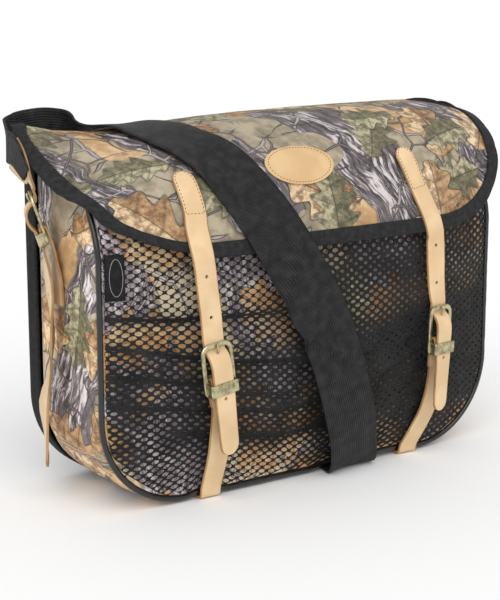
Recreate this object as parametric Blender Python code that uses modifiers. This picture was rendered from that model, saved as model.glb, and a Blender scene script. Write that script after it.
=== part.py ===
# Hunting game bag: a camouflage satchel with a net front pocket, leather straps and a webbing sling.
# Frame: +X to the bag's left hand as worn (right in a front view), front faces -Y, +Z up.
# The origin is on the floor, under the middle of the bag's box.
import math

import bmesh
import bpy
from mathutils import Matrix, Vector

MM = 0.001
GAP = 0.35 * MM

# Driving dimensions of the bag body
HALF_WIDTH = 199 * MM
CORNER_RADIUS = 75 * MM
SEAM_RISE = 3.5 * MM
GUSSET_DEPTH = 97 * MM
BAG_DEPTH = 119 * MM
GUSSET_CROWN = 3.5 * MM
CLOTH = 1.8 * MM
PANEL_TOP = 247 * MM
BACK_TOP = 292 * MM
PANEL_BULGE = 16 * MM
BULGE_RISE = 130 * MM
DOME_START = 204 * MM

# Net pocket on the front
NET_THICKNESS = 1.2 * MM
NET_TOP = 232 * MM
NET_BULGE = 29 * MM
NET_TUCK = 6 * MM
NET_STAND_OFF = 0.8 * MM

# Flap and its binding
FLAP_THICKNESS = 1.8 * MM
FLAP_SHIFT = -5 * MM
FLAP_HALF_FRONT = 208 * MM
FLAP_HALF_SIDE = 219 * MM
FLAP_HALF_BACK = 201 * MM
FLAP_CORNER_ACROSS = 90 * MM
FLAP_CORNER_DOWN = 64 * MM
FLAP_BULGE_LOSS = 22 * MM
BINDING_WIDTH = 12 * MM
BINDING_THICKNESS = 2.6 * MM
BINDING_PROUD = 0.4 * MM

# Piping, label and patch
PIPING_RADIUS = 2.3 * MM
PATCH_SIZE = (72 * MM, 40 * MM)
LABEL_SIZE = (15 * MM, 36 * MM)
LABEL_AT = (-188.5 * MM, 194 * MM)
TRIM = 0.9 * MM

# Leather straps and their buckles
LEATHER = 2.0 * MM
STRAP_WIDTH = 20 * MM
HOLE_RADIUS = 1.7 * MM
HOLE_PITCH = 33 * MM
BUCKLE_OUTER = (31 * MM, 42 * MM)
BUCKLE_BAR = 4 * MM
BUCKLE_PLATE = 2.4 * MM
HINGE_DROP = 10 * MM
HINGE_HALF = 1.15 * MM
KEEPER_HEIGHT = 10 * MM
KEEPER_WIDTH = 27 * MM
KEEPER_REACH = 7.5 * MM
KEEPER_WALL = 1.1 * MM
PRONG_RADIUS = 1.0 * MM

# Shoulder webbing
WEBBING_WIDTH = 50 * MM
WEBBING = 2.0 * MM

# The middle of the finished bag's box, which the frame is moved to
BOX_MIDDLE = (0.25 * MM, 48.5 * MM)

# Centre line of the flap seen from the side: from its seam on the back, over the top, to the hem.
# columns: y, z in millimetres, part of the half width that is kept there (0 = back width, 1 = side width)
FLAP_PROFILE = [
    (121.6, 280.0, 0.0),
    (121.6, 294.5, 0.0),
    (118.0, 300.6, 0.0),
    (106.0, 303.8, 0.25),
    (92.0, 304.8, 0.8),
    (76.0, 304.4, 1.0),
    (58.0, 302.6, 1.0),
    (40.0, 297.6, 0.9),
    (24.0, 289.4, 0.7),
    (10.0, 278.4, 0.5),
]

# How far the bottom is lifted by the straps that pass under it. columns: x, lift in millimetres
BOTTOM_LIFT = [
    (-121, 0.0), (-115, 2.5), (-91, 2.5), (-84, 0.0),
    (4, 0.0), (12, 2.5), (117.5, 2.5), (122.5, 0.0),
]

# Heights of the rows of the front, in millimetres, from the top down to the round corners
FRONT_ROWS = [247, 232, 218, 204, 170, 125]
# More columns of the front between those of BOTTOM_LIFT, in millimetres on the bottom row
FRONT_COLUMNS = [-104, -56, -26, 34, 60, 88, 104]

# Route of the shoulder webbing along its middle, from the left chape to the right one.
# columns: x, y, z in millimetres, then the direction from its first edge to its second edge
WEBBING_ROUTE = [
    (-225.4, 76, 259.5, 0.00, 1.00, 0.00),
    (-225, 83, 267, 0.00, 0.97, -0.25),
    (-223.4, 97, 274, 0.00, 0.80, -0.60),
    (-219.5, 114, 277, 0.00, 0.30, -0.95),
    (-209, 126.5, 279, 0.10, 0.04, -0.99),
    (-193, 132, 285, 0.05, -0.06, -0.99),
    (-174, 133, 289, 0.00, 0.04, -1.00),
    (-155, 131, 292, 0.00, 0.35, -0.94),
    (-139, 122, 300, 0.15, 0.75, -0.64),
    (-125, 103, 306.5, 0.45, 0.88, -0.15),
    (-113, 80, 307, 0.62, 0.77, 0.03),
    (-104, 52, 302, 0.75, 0.62, 0.20),
    (-96, 25, 291, 0.80, 0.45, 0.38),
    (-86, 5, 276, 0.84, 0.30, 0.45),
    (-75, -11, 257, 0.86, 0.22, 0.46),
    (-63, -23, 236, 0.87, 0.12, 0.47),
    (-50, -32, 212, 0.88, 0.04, 0.47),
    (-36, -37, 186, 0.88, -0.02, 0.47),
    (-22, -39, 160, 0.89, -0.06, 0.45),
    (-9, -39.5, 134, 0.92, -0.04, 0.36),
    (1, -39.5, 110, 0.97, 0.00, 0.24),
    (9, -39, 86, 0.97, 0.00, 0.24),
    (17, -37, 62, 0.96, 0.00, 0.27),
    (26, -31, 38, 0.95, 0.04, 0.28),
    (35, -20, 15, 0.95, 0.12, 0.20),
    (40, -9, 3.6, 0.98, 0.10, 0.06),
    (43, 4, 1.0, 1.00, 0.00, 0.00),
    (46, 30, 1.0, 1.00, 0.00, 0.00),
    (49, 62, 1.0, 1.00, 0.00, 0.00),
    (52, 96, 1.0, 1.00, 0.00, 0.00),
    (54, 113, 1.0, 1.00, 0.00, 0.00),
    (56, 121.6, 1.2, 1.00, 0.00, 0.00),
    (58, 124.2, 4.6, 1.00, 0.00, 0.00),
    (60, 125, 12, 0.98, 0.00, -0.12),
    (67, 125, 30, 0.94, 0.00, -0.34),
    (83, 127, 70, 0.92, 0.00, -0.40),
    (102, 128, 112, 0.91, 0.00, -0.42),
    (123, 129, 155, 0.89, 0.00, -0.46),
    (146, 130, 195, 0.86, 0.00, -0.51),
    (170, 131, 230, 0.78, 0.00, -0.62),
    (192, 131.5, 257, 0.50, 0.00, -0.86),
    (209, 128.5, 271, 0.12, 0.04, -0.99),
    (219.5, 115, 274, 0.00, 0.30, -0.95),
    (223.4, 98, 272, 0.00, 0.80, -0.60),
    (225, 83, 267, 0.00, 0.97, -0.25),
    (225.4, 76, 259.5, 0.00, 1.00, 0.00),
]
WEBBING_ROWS_ON_FLAP = (8, 17)

# Front straps. "sewn" and "anchor" have columns z, x in millimetres; "buckle" is x, z, then the turns
# about the upright and the outward axis in degrees; "foot" is x where the anchor passes under the bag
FRONT_STRAPS = {
    "left": {
        "sewn": [(273, -116), (256, -117), (238, -119), (221, -120.5), (206, -121), (182, -120.5), (160, -119)],
        "buckle": (-115.5, 117.0, 10.0, -9.0),
        "anchor": [(84, -108.5), (62, -108), (42, -107.5), (24, -106), (10, -104)],
        "foot": -103,
    },
    "right": {
        "sewn": [(273, 107), (256, 107.5), (238, 108.5), (221, 110), (206, 111.5), (182, 113.5), (160, 115.5)],
        "buckle": (117.0, 117.0, -12.0, -2.0),
        "anchor": [(84, 119), (62, 119), (42, 117), (24, 112), (10, 108)],
        "foot": 106,
    },
}

# Side straps, for the left side. Places in millimetres
SIDE_BUCKLE_AT = (-216.5, 67.5, 235.0)
SIDE_BUCKLE_LEAN = 20.0
SIDE_STRAP_TOP = [(-219.4, 84.0, 276.0), (-220.2, 77.0, 267.0), (-221.4, 70.5, 261.0)]
SIDE_STRAP_TAIL = [(-214.5, 67.0, 188), (-214.0, 66.0, 150), (-215.0, 65.0, 110),
                   (-216.0, 64.5, 70), (-214.5, 64.5, 40), (-213.5, 64.5, 30), (-213.0, 64.5, 24)]
SIDE_ANCHOR = [(-206.6, 67.0, 202), (-204.6, 66.5, 190), (-204.2, 66.0, 176), (-204.2, 66.0, 160),
               (-204.2, 66.0, 148)]

# Way of a strap through its buckle. columns: height along the buckle, distance out of it, in millimetres
THROUGH_BUCKLE = [(25, -3.3), (20.5, -3.1), (16.5, -3.0), (13.6, -1.6), (11.2, 1.2), (8, 3.4), (3, 5.0),
                  (-4, 5.35), (-11, 5.15), (-21, 5.15), (-25, 5.1)]
PRONG_SLOT_UP = (8.0 * MM, 14.8 * MM)
# Way of a front strap's tail below its buckle, in the same columns
FRONT_TAIL = [(-31, 5.0), (-45, 4.6), (-58, 4.4), (-64, 4.4)]
# Way of the anchor strap round the hinge bar, from its cut end in front to the strap behind
ANCHOR_FRONT = [(-22, 2.75), (-18, 2.75), (-13.5, 2.75)]
ANCHOR_BEHIND = [(-13.5, -2.8), (-19, -2.8), (-26, -2.9)]
ANCHOR_TURN_STEPS = 4

COLOURS = {
    "camouflage": ((0.28, 0.22, 0.15), 0.75, 0.0),
    "black_cloth": ((0.025, 0.025, 0.027), 0.8, 0.0),
    "net": ((0.03, 0.03, 0.034), 0.65, 0.0),
    "webbing": ((0.03, 0.03, 0.033), 0.7, 0.0),
    "piping": ((0.02, 0.02, 0.022), 0.3, 0.0),
    "leather": ((0.72, 0.47, 0.24), 0.5, 0.0),
    "brass": ((0.42, 0.37, 0.22), 0.38, 1.0),
}


def material(name):
    """One plain material for each kind of stuff."""
    found = bpy.data.materials.get(name)
    if found:
        return found
    colour, roughness, metallic = COLOURS[name]
    made = bpy.data.materials.new(name)
    made.use_nodes = True
    shader = made.node_tree.nodes["Principled BSDF"]
    shader.inputs["Base Color"].default_value = (*colour, 1.0)
    shader.inputs["Roughness"].default_value = roughness
    shader.inputs["Metallic"].default_value = metallic
    return made


def empty_scene():
    for thing in list(bpy.data.objects):
        bpy.data.objects.remove(thing, do_unlink=True)


def new_collection(name):
    made = bpy.data.collections.new(name)
    bpy.context.scene.collection.children.link(made)
    return made


def add_object(name, mesh, stuff, smooth=True):
    """Put a mesh in the bag's collection, on the bag's frame."""
    mesh.name = name
    mesh.materials.clear()
    mesh.materials.append(material(stuff))
    made = bpy.data.objects.new(name, mesh)
    PARTS.objects.link(made)
    made.parent = FRAME
    if smooth:
        mesh.shade_smooth()
        mesh.set_sharp_from_angle(angle=math.radians(40))
    return made


def sheet(name, rows, thickness, stuff, offset=-1.0, even=True):
    """A cloth or leather sheet: rows of points joined as a grid, thickened by Solidify."""
    work = bmesh.new()
    grid = [[work.verts.new(point) for point in row] for row in rows]
    for upper, lower in zip(grid, grid[1:]):
        for i in range(len(upper) - 1):
            work.faces.new((upper[i], lower[i], lower[i + 1], upper[i + 1]))
    mesh = bpy.data.meshes.new(name)
    work.to_mesh(mesh)
    work.free()
    made = add_object(name, mesh, stuff)
    solid = made.modifiers.new("thickness", "SOLIDIFY")
    solid.thickness = thickness
    solid.offset = offset
    solid.use_even_offset = even
    return made


def steps(first, last, count):
    """Evenly spaced numbers from first to last."""
    return [first + (last - first) * i / (count - 1) for i in range(count)]


def between(table, x):
    """Straight-line reading of a table of (x, value) rows."""
    if x <= table[0][0]:
        return table[0][1]
    for (x0, v0), (x1, v1) in zip(table, table[1:]):
        if x <= x1:
            return v0 + (v1 - v0) * (x - x0) / (x1 - x0)
    return table[-1][1]


def smooth_route(points, per_span):
    """Points on a Catmull-Rom curve through the given vectors."""
    made = []
    for i in range(len(points) - 1):
        before = points[max(i - 1, 0)]
        here = points[i]
        ahead = points[i + 1]
        beyond = points[min(i + 2, len(points) - 1)]
        for j in range(per_span):
            t = j / per_span
            made.append(0.5 * (2 * here + (ahead - before) * t
                               + (2 * before - 5 * here + 4 * ahead - beyond) * t * t
                               + (3 * here - before - 3 * ahead + beyond) * t ** 3))
    made.append(points[-1].copy())
    return made


def dome_lean(z):
    """How far the front leans back above the dome's start."""
    rise = 52 * MM
    reach = 20.5 * MM
    if z <= DOME_START:
        return 0.0
    return reach * ((z - DOME_START) / rise) ** 1.6


def bottom_lift(x, z):
    """Lift of the cloth where straps pass under the bag, fading out above it."""
    fade = max(0.0, 1 - z / (40 * MM))
    return between(BOTTOM_LIFT, x / MM) * MM * fade


def half_width_at(z, half, bottom, radius):
    """Half width of a U outline with round lower corners."""
    height = z - bottom
    if height >= radius:
        return half
    return half - radius + math.sqrt(max(radius ** 2 - (radius - height) ** 2, 0.0))


def heights(top, bottom, radius, turn):
    """Row heights of a U-shaped panel, from its top edge to the flat bottom."""
    upper = [top] + [z * MM for z in FRONT_ROWS if z * MM < top] + [bottom + radius]
    lower = [bottom + radius - radius * math.sin(math.radians(a)) for a in steps(0, 90, turn)[1:]]
    return upper + lower


def bulge(x, z, half, bottom, radius):
    """Pillow shape of the front, 0 at its edges and 1 in the middle."""
    edge = max(half_width_at(z, half, bottom, radius), 1e-6)
    across = 1 - min(abs(x) / edge, 1.0) ** 3
    up = 1 - (1 - min((z - bottom) / BULGE_RISE, 1.0)) ** 2.2
    return across * up


def u_stations(half, bottom, radius, top, turn):
    """Points (x, z, out_x, out_z) down the left side, along the bottom and up the right side."""
    sides = [top] + [z * MM for z in FRONT_ROWS if z * MM < top] + [bottom + radius]
    left = [(-half, z, -1.0, 0.0) for z in sides]
    for a in steps(0, 90, turn)[1:-1]:
        c = math.cos(math.radians(a))
        s = math.sin(math.radians(a))
        left.append((-(half - radius) - radius * c, bottom + radius - radius * s, -c, -s))
    floor = [-(half - radius)] + floor_columns() + [half - radius]
    right = [(-x, z, -ox, oz) for x, z, ox, oz in reversed(left)]
    return left + [(x, bottom, 0.0, -1.0) for x in floor] + right


def inside_piping():
    """Half width, bottom and corner radius of the outline that fits inside the piping."""
    inset = PIPING_RADIUS + 2 * GAP
    return HALF_WIDTH - inset, SEAM_RISE + inset, CORNER_RADIUS - inset


def front_columns(edge):
    """Columns of a front panel row, spread between its edges."""
    half, bottom, radius = inside_piping()
    inner = sorted(floor_columns() + [x * MM for x in FRONT_COLUMNS])
    return [-edge] + [x * edge / (half - radius) for x in inner] + [edge]


def front_panel():
    """Camouflage front, pushed out by what the bag holds."""
    half, bottom, radius = inside_piping()
    rows = []
    for z in heights(PANEL_TOP, bottom, radius, 7):
        edge = half_width_at(z, half, bottom, radius)
        rows.append([Vector((x, -PANEL_BULGE * bulge(x, z, half, bottom, radius) + dome_lean(z),
                             z + bottom_lift(x, z)))
                     for x in front_columns(edge)])
    return sheet("front_panel", rows, CLOTH, "camouflage")


def net_depth(x, z):
    """Outer face of the net pocket in front of the seam plane."""
    half, bottom, radius = inside_piping()
    tuck = NET_TUCK * min(max((z - 165 * MM) / (35 * MM), 0.0), 1.0)
    swell = (NET_BULGE - tuck) * bulge(x, z, half, bottom, radius)
    return -swell - NET_STAND_OFF - NET_THICKNESS + dome_lean(z)


def net_pocket():
    """Net pocket over the front, open at the top under the flap."""
    half, bottom, radius = inside_piping()
    rows = []
    for z in heights(NET_TOP, bottom, radius, 7):
        edge = half_width_at(z, half, bottom, radius)
        rows.append([Vector((x, net_depth(x, z), z + bottom_lift(x, z))) for x in front_columns(edge)])
    return sheet("net_pocket", rows, NET_THICKNESS, "net")


def floor_columns():
    """Where the bottom needs a column of points to follow the straps under it."""
    return [x * MM for x, lift in BOTTOM_LIFT]


def gusset():
    """Camouflage strip round the two sides and the bottom, crowned between its seams."""
    crown = [(0.0, 0.0), (0.07, 0.75), (0.25, 1.0), (0.75, 1.0), (0.93, 0.75), (1.0, 0.0)]
    side_top = 286 * MM
    front_edge = PIPING_RADIUS + GAP
    back_edge = GUSSET_DEPTH - GAP
    rows = []
    stations = u_stations(HALF_WIDTH, SEAM_RISE, CORNER_RADIUS, PANEL_TOP, 7)
    for x, z, out_x, out_z in stations:
        row = []
        for part, swell in crown:
            height = z
            if z > SEAM_RISE + CORNER_RADIUS:
                top = PANEL_TOP + (side_top - PANEL_TOP) * part ** 0.7
                share = (z - SEAM_RISE - CORNER_RADIUS) / (PANEL_TOP - SEAM_RISE - CORNER_RADIUS)
                height = SEAM_RISE + CORNER_RADIUS + share * (top - SEAM_RISE - CORNER_RADIUS)
            front = front_edge + dome_lean(z)
            y = front + (back_edge - front) * part
            out = GUSSET_CROWN * swell
            lift = bottom_lift(x, z)
            row.append(Vector((x + out_x * out, y, height + out_z * out + lift)))
        rows.append(row[::-1])
    return sheet("gusset", rows, CLOTH, "camouflage")


def back_panel():
    """Black back, wrapped forward as a band to the seam of the gusset."""
    half = HALF_WIDTH + GUSSET_CROWN
    radius = CORNER_RADIUS + GUSSET_CROWN
    rows = []
    for z in heights(BACK_TOP, 0.0, radius, 7):
        edge = half_width_at(z, half, 0.0, radius)
        columns = [-edge] + [x * edge / (half - radius) for x in floor_columns()] + [edge]
        rows.append([Vector((x, BAG_DEPTH, z + bottom_lift(x, z))) for x in columns])
    work = bmesh.new()
    grid = [[work.verts.new(point) for point in row] for row in rows]
    for upper, lower in zip(grid, grid[1:]):
        for i in range(len(upper) - 1):
            work.faces.new((upper[i], upper[i + 1], lower[i + 1], lower[i]))
    rim = [row[0] for row in grid] + grid[-1][1:] + [row[-1] for row in reversed(grid[:-1])]
    rim_edges = [work.edges.get((a, b)) for a, b in zip(rim, rim[1:])]
    band = bmesh.ops.extrude_edge_only(work, edges=rim_edges)
    moved = [part for part in band["geom"] if isinstance(part, bmesh.types.BMVert)]
    bmesh.ops.translate(work, verts=moved, vec=(0, GUSSET_DEPTH - BAG_DEPTH, 0))
    bmesh.ops.recalc_face_normals(work, faces=work.faces)
    mesh = bpy.data.meshes.new("back_panel")
    work.to_mesh(mesh)
    work.free()
    made = add_object("back_panel", mesh, "black_cloth")
    solid = made.modifiers.new("thickness", "SOLIDIFY")
    solid.thickness = CLOTH
    solid.offset = -1.0
    solid.use_even_offset = True
    return made


def front_piping():
    """Round piping sewn in the front seam."""
    curve = bpy.data.curves.new("front_piping", "CURVE")
    curve.dimensions = "3D"
    curve.bevel_depth = PIPING_RADIUS
    curve.bevel_resolution = 1
    curve.use_fill_caps = True
    spline = curve.splines.new("POLY")
    stations = u_stations(HALF_WIDTH, SEAM_RISE, CORNER_RADIUS, PANEL_TOP, 7)
    spline.points.add(len(stations) - 1)
    for point, (x, z, out_x, out_z) in zip(spline.points, stations):
        point.co = (x, dome_lean(z), z + bottom_lift(x, z), 1.0)
    curve.materials.append(material("piping"))
    made = bpy.data.objects.new("front_piping", curve)
    PARTS.objects.link(made)
    made.parent = FRAME
    return made


def flap_rows(inset):
    """Rows of the flap's outline: (y, z) on the centre line, half width, and how far to the front."""
    rows = []
    for y, z, share in FLAP_PROFILE:
        back = FLAP_HALF_BACK + (FLAP_HALF_SIDE - FLAP_HALF_BACK) * share
        side = FLAP_HALF_SIDE + (FLAP_HALF_FRONT - FLAP_HALF_SIDE) * max(0.0, (60 - y) / 70)
        half = min(back, side) if y > 80 else side
        rows.append((y * MM, z * MM, half - inset, 0.0))
    corner_top = DOME_START + FLAP_CORNER_DOWN
    down = FLAP_CORNER_DOWN - inset
    for angle in steps(0, 90, 8):
        s = math.sin(math.radians(angle))
        c = math.cos(math.radians(angle))
        z = corner_top - down * s
        half = FLAP_HALF_FRONT - FLAP_CORNER_ACROSS + (FLAP_CORNER_ACROSS - inset) * c
        rows.append((flap_front(z), z, half, 1.0))
    return rows


def flap_front(z):
    """Centre line of the flap's front, outer face."""
    return -28.5 * MM + dome_lean(z)


def flap_point(x, y, z):
    """The flap's outer face at x, from its centre line: flatter towards the sides, with drooping edges."""
    off_centre = abs(x - FLAP_SHIFT)
    frontness = min(max((300 * MM - z) / (70 * MM), 0.0), 1.0) if y < 60 * MM else 0.0
    loss = FLAP_BULGE_LOSS * min(off_centre / HALF_WIDTH, 1.04) ** 3 * frontness
    over = max(off_centre - 165 * MM, 0.0) / (50 * MM)
    side_droop = 7 * MM if x > 0 else 1.5 * MM
    top = min(max((z - 250 * MM) / (40 * MM), 0.0), 1.0) if y < 110 * MM else 0.0
    return Vector((x, y + loss, z - side_droop * over ** 2 * top))


def flap():
    """Camouflage flap from the back seam over the top to the front."""
    rows = []
    for y, z, half, front in flap_rows(BINDING_WIDTH + GAP):
        rows.append([flap_point(FLAP_SHIFT + x, y, z) for x in steps(-half, half, 21)])
    return sheet("flap", rows, FLAP_THICKNESS, "camouflage")


def flap_binding():
    """Black tape bound over the flap's free edge."""
    first = 3
    outer = flap_rows(0.0)[first:]
    inner = flap_rows(BINDING_WIDTH)[first:]
    rows = []
    for a, b in zip(outer, inner):
        rows.append([flap_point(FLAP_SHIFT - a[2], a[0], a[1]), flap_point(FLAP_SHIFT - b[2], b[0], b[1])])
    for part in steps(-1, 1, 13)[1:-1]:
        rows.append([flap_point(FLAP_SHIFT + part * outer[-1][2], outer[-1][0], outer[-1][1]),
                     flap_point(FLAP_SHIFT + part * inner[-1][2], inner[-1][0], inner[-1][1])])
    for a, b in zip(reversed(outer), reversed(inner)):
        rows.append([flap_point(FLAP_SHIFT + a[2], a[0], a[1]), flap_point(FLAP_SHIFT + b[2], b[0], b[1])])
    offset = 2 * BINDING_PROUD / BINDING_THICKNESS - 1
    return sheet("flap_binding", rows, BINDING_THICKNESS, "black_cloth", offset=offset)


def flap_outline_profile():
    """Centre line of the flap from back to hem as (y, z) pairs."""
    rows = [(y, z) for y, z, half, front in flap_rows(0.0)]
    return rows[2:]


def stand_off_flap(point, clearance):
    """Move a point out of the flap until it is the clearance away, in the plane across the flap."""
    line = [flap_point(point.x, y, z) for y, z in flap_outline_profile()]
    best = None
    for a, b in zip(line, line[1:]):
        edge = Vector((b.y - a.y, b.z - a.z))
        to_point = Vector((point.y - a.y, point.z - a.z))
        along = min(max(to_point.dot(edge) / edge.length_squared, 0.0), 1.0)
        away = to_point - edge * along
        normal = Vector((edge.y, -edge.x)).normalized()
        if best is None or away.length < best[0]:
            best = (away.length, away.dot(normal), normal)
    distance, side, normal = best
    short = clearance - side if side >= 0 or distance < 30 * MM else 0.0
    if short <= 0:
        return point
    return Vector((point.x, point.y + normal.x * short, point.z + normal.y * short))


def clear_of_net(point, clearance):
    """Move a point forward until it is the clearance in front of the net."""
    if point.z > NET_TOP or point.z < SEAM_RISE or point.y > 0:
        return point
    limit = net_depth(point.x, point.z) - clearance
    return Vector((point.x, min(point.y, limit), point.z))


def over_strap_tip(point):
    """Extra height of the webbing where it lies on the left front strap's tip."""
    tip_z, tip_x = FRONT_STRAPS["left"]["sewn"][0]
    aside = max(0.0, abs(point.x / MM - tip_x) - 12) / 14
    below = max(0.0, tip_z - 6 - point.z / MM) / 14
    above = max(0.0, point.z / MM - tip_z - 14) / 14
    return (LEATHER + 3 * GAP) * max(0.0, 1 - max(aside, below, above))


def shoulder_webbing():
    """Sling webbing: one strap from the left chape, over the flap, under the bag and up the back."""
    points = smooth_route([Vector(row[:3]) * MM for row in WEBBING_ROUTE], 2)
    across = smooth_route([Vector(row[3:]) for row in WEBBING_ROUTE], 2)
    first, last = WEBBING_ROWS_ON_FLAP
    rows = []
    count = len(points)
    taper = 4
    for i, (middle, side) in enumerate(zip(points, across)):
        along = points[min(i + 1, count - 1)] - points[max(i - 1, 0)]
        side = (side - along * side.dot(along) / along.length_squared).normalized()
        from_end = min(i, count - 1 - i)
        width = WEBBING_WIDTH * min(1.0, 0.36 + 0.64 * from_end / taper)
        row = [middle + side * width * part for part in (-0.5, -0.17, 0.17, 0.5)]
        if first * 2 <= i <= last * 2:
            row = [stand_off_flap(point, WEBBING / 2 + BINDING_PROUD + 3 * GAP + over_strap_tip(point))
                   for point in row]
        row = [clear_of_net(point, WEBBING / 2 + 2 * GAP) for point in row]
        rows.append([Vector((point.x, point.y, max(point.z, WEBBING / 2))) for point in row])
    return sheet("shoulder_webbing", rows, WEBBING, "webbing", offset=0.0, even=False)


def leather_patch():
    """Bare oval leather patch on the flap."""
    rows = []
    centre_z = DOME_START + FLAP_CORNER_DOWN
    centre_x = FLAP_SHIFT - 3 * MM
    path = flap_outline_profile()
    lengths = [0.0]
    for a, b in zip(path, path[1:]):
        lengths.append(lengths[-1] + math.hypot(b[0] - a[0], b[1] - a[1]))
    middle = next(at for at, (y, z) in zip(lengths, path) if z <= centre_z)

    def on_flap(across, down):
        wanted = middle + down
        y = between(list(zip(lengths, [p[0] for p in path])), wanted)
        z = between(list(zip(lengths, [p[1] for p in path])), wanted)
        place = flap_point(centre_x + across, y, z)
        return stand_off_flap(place, GAP + TRIM + 0.1 * MM)

    for down in steps(-0.5, 0.5, 8):
        angle = math.asin(min(max(2 * down, -0.985), 0.985))
        half = PATCH_SIZE[0] / 2 * math.cos(angle)
        rows.append([on_flap(x, math.sin(angle) * PATCH_SIZE[1] / 2) for x in steps(-half, half, 7)])
    return sheet("leather_patch", rows, TRIM, "leather")


def woven_label():
    """Bare woven label caught in the piping seam."""
    width, height = LABEL_SIZE
    rows = []
    for z in steps(LABEL_AT[1] + height / 2, LABEL_AT[1] - height / 2, 3):
        rows.append([Vector((x, net_depth(x, z) - GAP - TRIM - 0.4 * MM, z))
                     for x in steps(LABEL_AT[0] - width / 2, LABEL_AT[0] + width / 2, 3)])
    return sheet("woven_label", rows, TRIM * 0.8, "black_cloth")


def ribbon(name, stations, thickness, stuff):
    """A strap from stations (middle, across unit vector, width), kept off the flap and the net."""
    rows = []
    for middle, across, width in stations:
        row = [middle - across * width / 2, middle, middle + across * width / 2]
        if middle.z > DOME_START - 3 * MM and middle.y < BAG_DEPTH / 2:
            row = [stand_off_flap(point, thickness / 2 + BINDING_PROUD + 2 * GAP) for point in row]
        rows.append([clear_of_net(point, thickness / 2 + 2 * GAP) for point in row])
    return sheet(name, rows, thickness, stuff, offset=0.0)


def round_end(middle, across, away, width, flat=1.0):
    """Stations of a rounded strap tip that ends past middle in the direction away."""
    made = []
    for angle in (20, 45, 68, 85):
        reach = width / 2 * flat * math.sin(math.radians(angle))
        made.append((middle + away * reach, across, width * math.cos(math.radians(angle))))
    return made


def hole_cutter(name, places, radius, depth):
    """Cylinders at (point, direction), as one hidden mesh."""
    work = bmesh.new()
    for point, direction in places:
        turn = direction.to_track_quat("Z", "Y").to_matrix().to_4x4()
        bmesh.ops.create_cone(work, cap_ends=True, segments=8, radius1=radius, radius2=radius,
                              depth=depth, matrix=Matrix.Translation(point) @ turn)
    mesh = bpy.data.meshes.new(name)
    work.to_mesh(mesh)
    work.free()
    made = bpy.data.objects.new(name, mesh)
    CUTTERS.objects.link(made)
    made.parent = FRAME
    made.hide_render = True
    made.display_type = "WIRE"
    return made


def cut(target, cutter):
    made = target.modifiers.new("cut", "BOOLEAN")
    made.operation = "DIFFERENCE"
    made.solver = "EXACT"
    made.object = cutter


def buckle(name, place):
    """Brass frame with a hinge bar and a raised keeper, one solid."""
    width, height = BUCKLE_OUTER
    work = bpy.data.curves.new(name + "_outline", "CURVE")
    work.dimensions = "2D"
    work.fill_mode = "BOTH"
    work.extrude = BUCKLE_PLATE / 2
    for half_w, half_h, radius in ((width / 2, height / 2, 8 * MM),
                                   (width / 2 - BUCKLE_BAR, height / 2 - BUCKLE_BAR, 4.5 * MM)):
        outline = []
        for sx, sz, start in ((1, 1, 0), (-1, 1, 90), (-1, -1, 180), (1, -1, 270)):
            corner = radius if sz > 0 else 2 * MM
            for angle in (0, 45, 90):
                a = math.radians(start + angle)
                outline.append((sx * (half_w - corner) + corner * math.cos(a),
                                sz * (half_h - corner) + corner * math.sin(a)))
        spline = work.splines.new("POLY")
        spline.points.add(len(outline) - 1)
        for point, (x, y) in zip(spline.points, outline):
            point.co = (x, y, 0, 1)
        spline.use_cyclic_u = True
    shape = bpy.data.objects.new(name + "_outline", work)
    bpy.context.scene.collection.objects.link(shape)
    evaluated = shape.evaluated_get(bpy.context.evaluated_depsgraph_get())
    mesh = bpy.data.meshes.new_from_object(evaluated)
    bpy.data.objects.remove(shape)
    bpy.data.curves.remove(work)
    weld = bmesh.new()
    weld.from_mesh(mesh)
    bmesh.ops.remove_doubles(weld, verts=weld.verts, dist=1e-6)
    # The outline lies in X and Y with its thickness along Z: the buckle's out direction.
    weld.to_mesh(mesh)
    weld.free()
    made = add_object(name, mesh, "brass")
    made.matrix_local = place @ Matrix.Rotation(math.radians(90), 4, "X")
    for index, (size, at) in enumerate(keeper_boxes()):
        extra = box_tool(name + "_add_" + str(index), size, at, place)
        union = made.modifiers.new("joined", "BOOLEAN")
        union.operation = "UNION"
        union.solver = "EXACT"
        union.object = extra
    return made


def keeper_boxes():
    """Hinge bar, keeper front and keeper sides as (size, centre) in the buckle's own axes."""
    width, height = BUCKLE_OUTER
    keeper_z = -height / 2 + KEEPER_HEIGHT / 2
    reach = KEEPER_REACH + BUCKLE_PLATE / 2 - 0.6 * MM
    side_y = -(KEEPER_REACH - reach / 2)
    bar = (width - BUCKLE_BAR, HINGE_HALF * 2, HINGE_HALF * 2)
    front = (KEEPER_WIDTH, KEEPER_WALL, KEEPER_HEIGHT)
    side = (KEEPER_WALL, reach, KEEPER_HEIGHT)
    shift = (KEEPER_WIDTH - KEEPER_WALL) / 2
    return [
        (bar, (0.0, 0.0, -HINGE_DROP)),
        (front, (0.0, -KEEPER_REACH + KEEPER_WALL / 2, keeper_z)),
        (side, (-shift, side_y, keeper_z)),
        (side, (shift, side_y, keeper_z)),
    ]


def box_tool(name, size, at, place):
    """A hidden box that is joined to a buckle or cuts a strap."""
    work = bmesh.new()
    bmesh.ops.create_cube(work, size=1.0, matrix=Matrix.Translation(at) @ Matrix.Diagonal((*size, 1.0)))
    mesh = bpy.data.meshes.new(name)
    work.to_mesh(mesh)
    work.free()
    made = bpy.data.objects.new(name, mesh)
    CUTTERS.objects.link(made)
    made.parent = FRAME
    made.matrix_local = place
    made.hide_render = True
    made.display_type = "WIRE"
    return made


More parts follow.
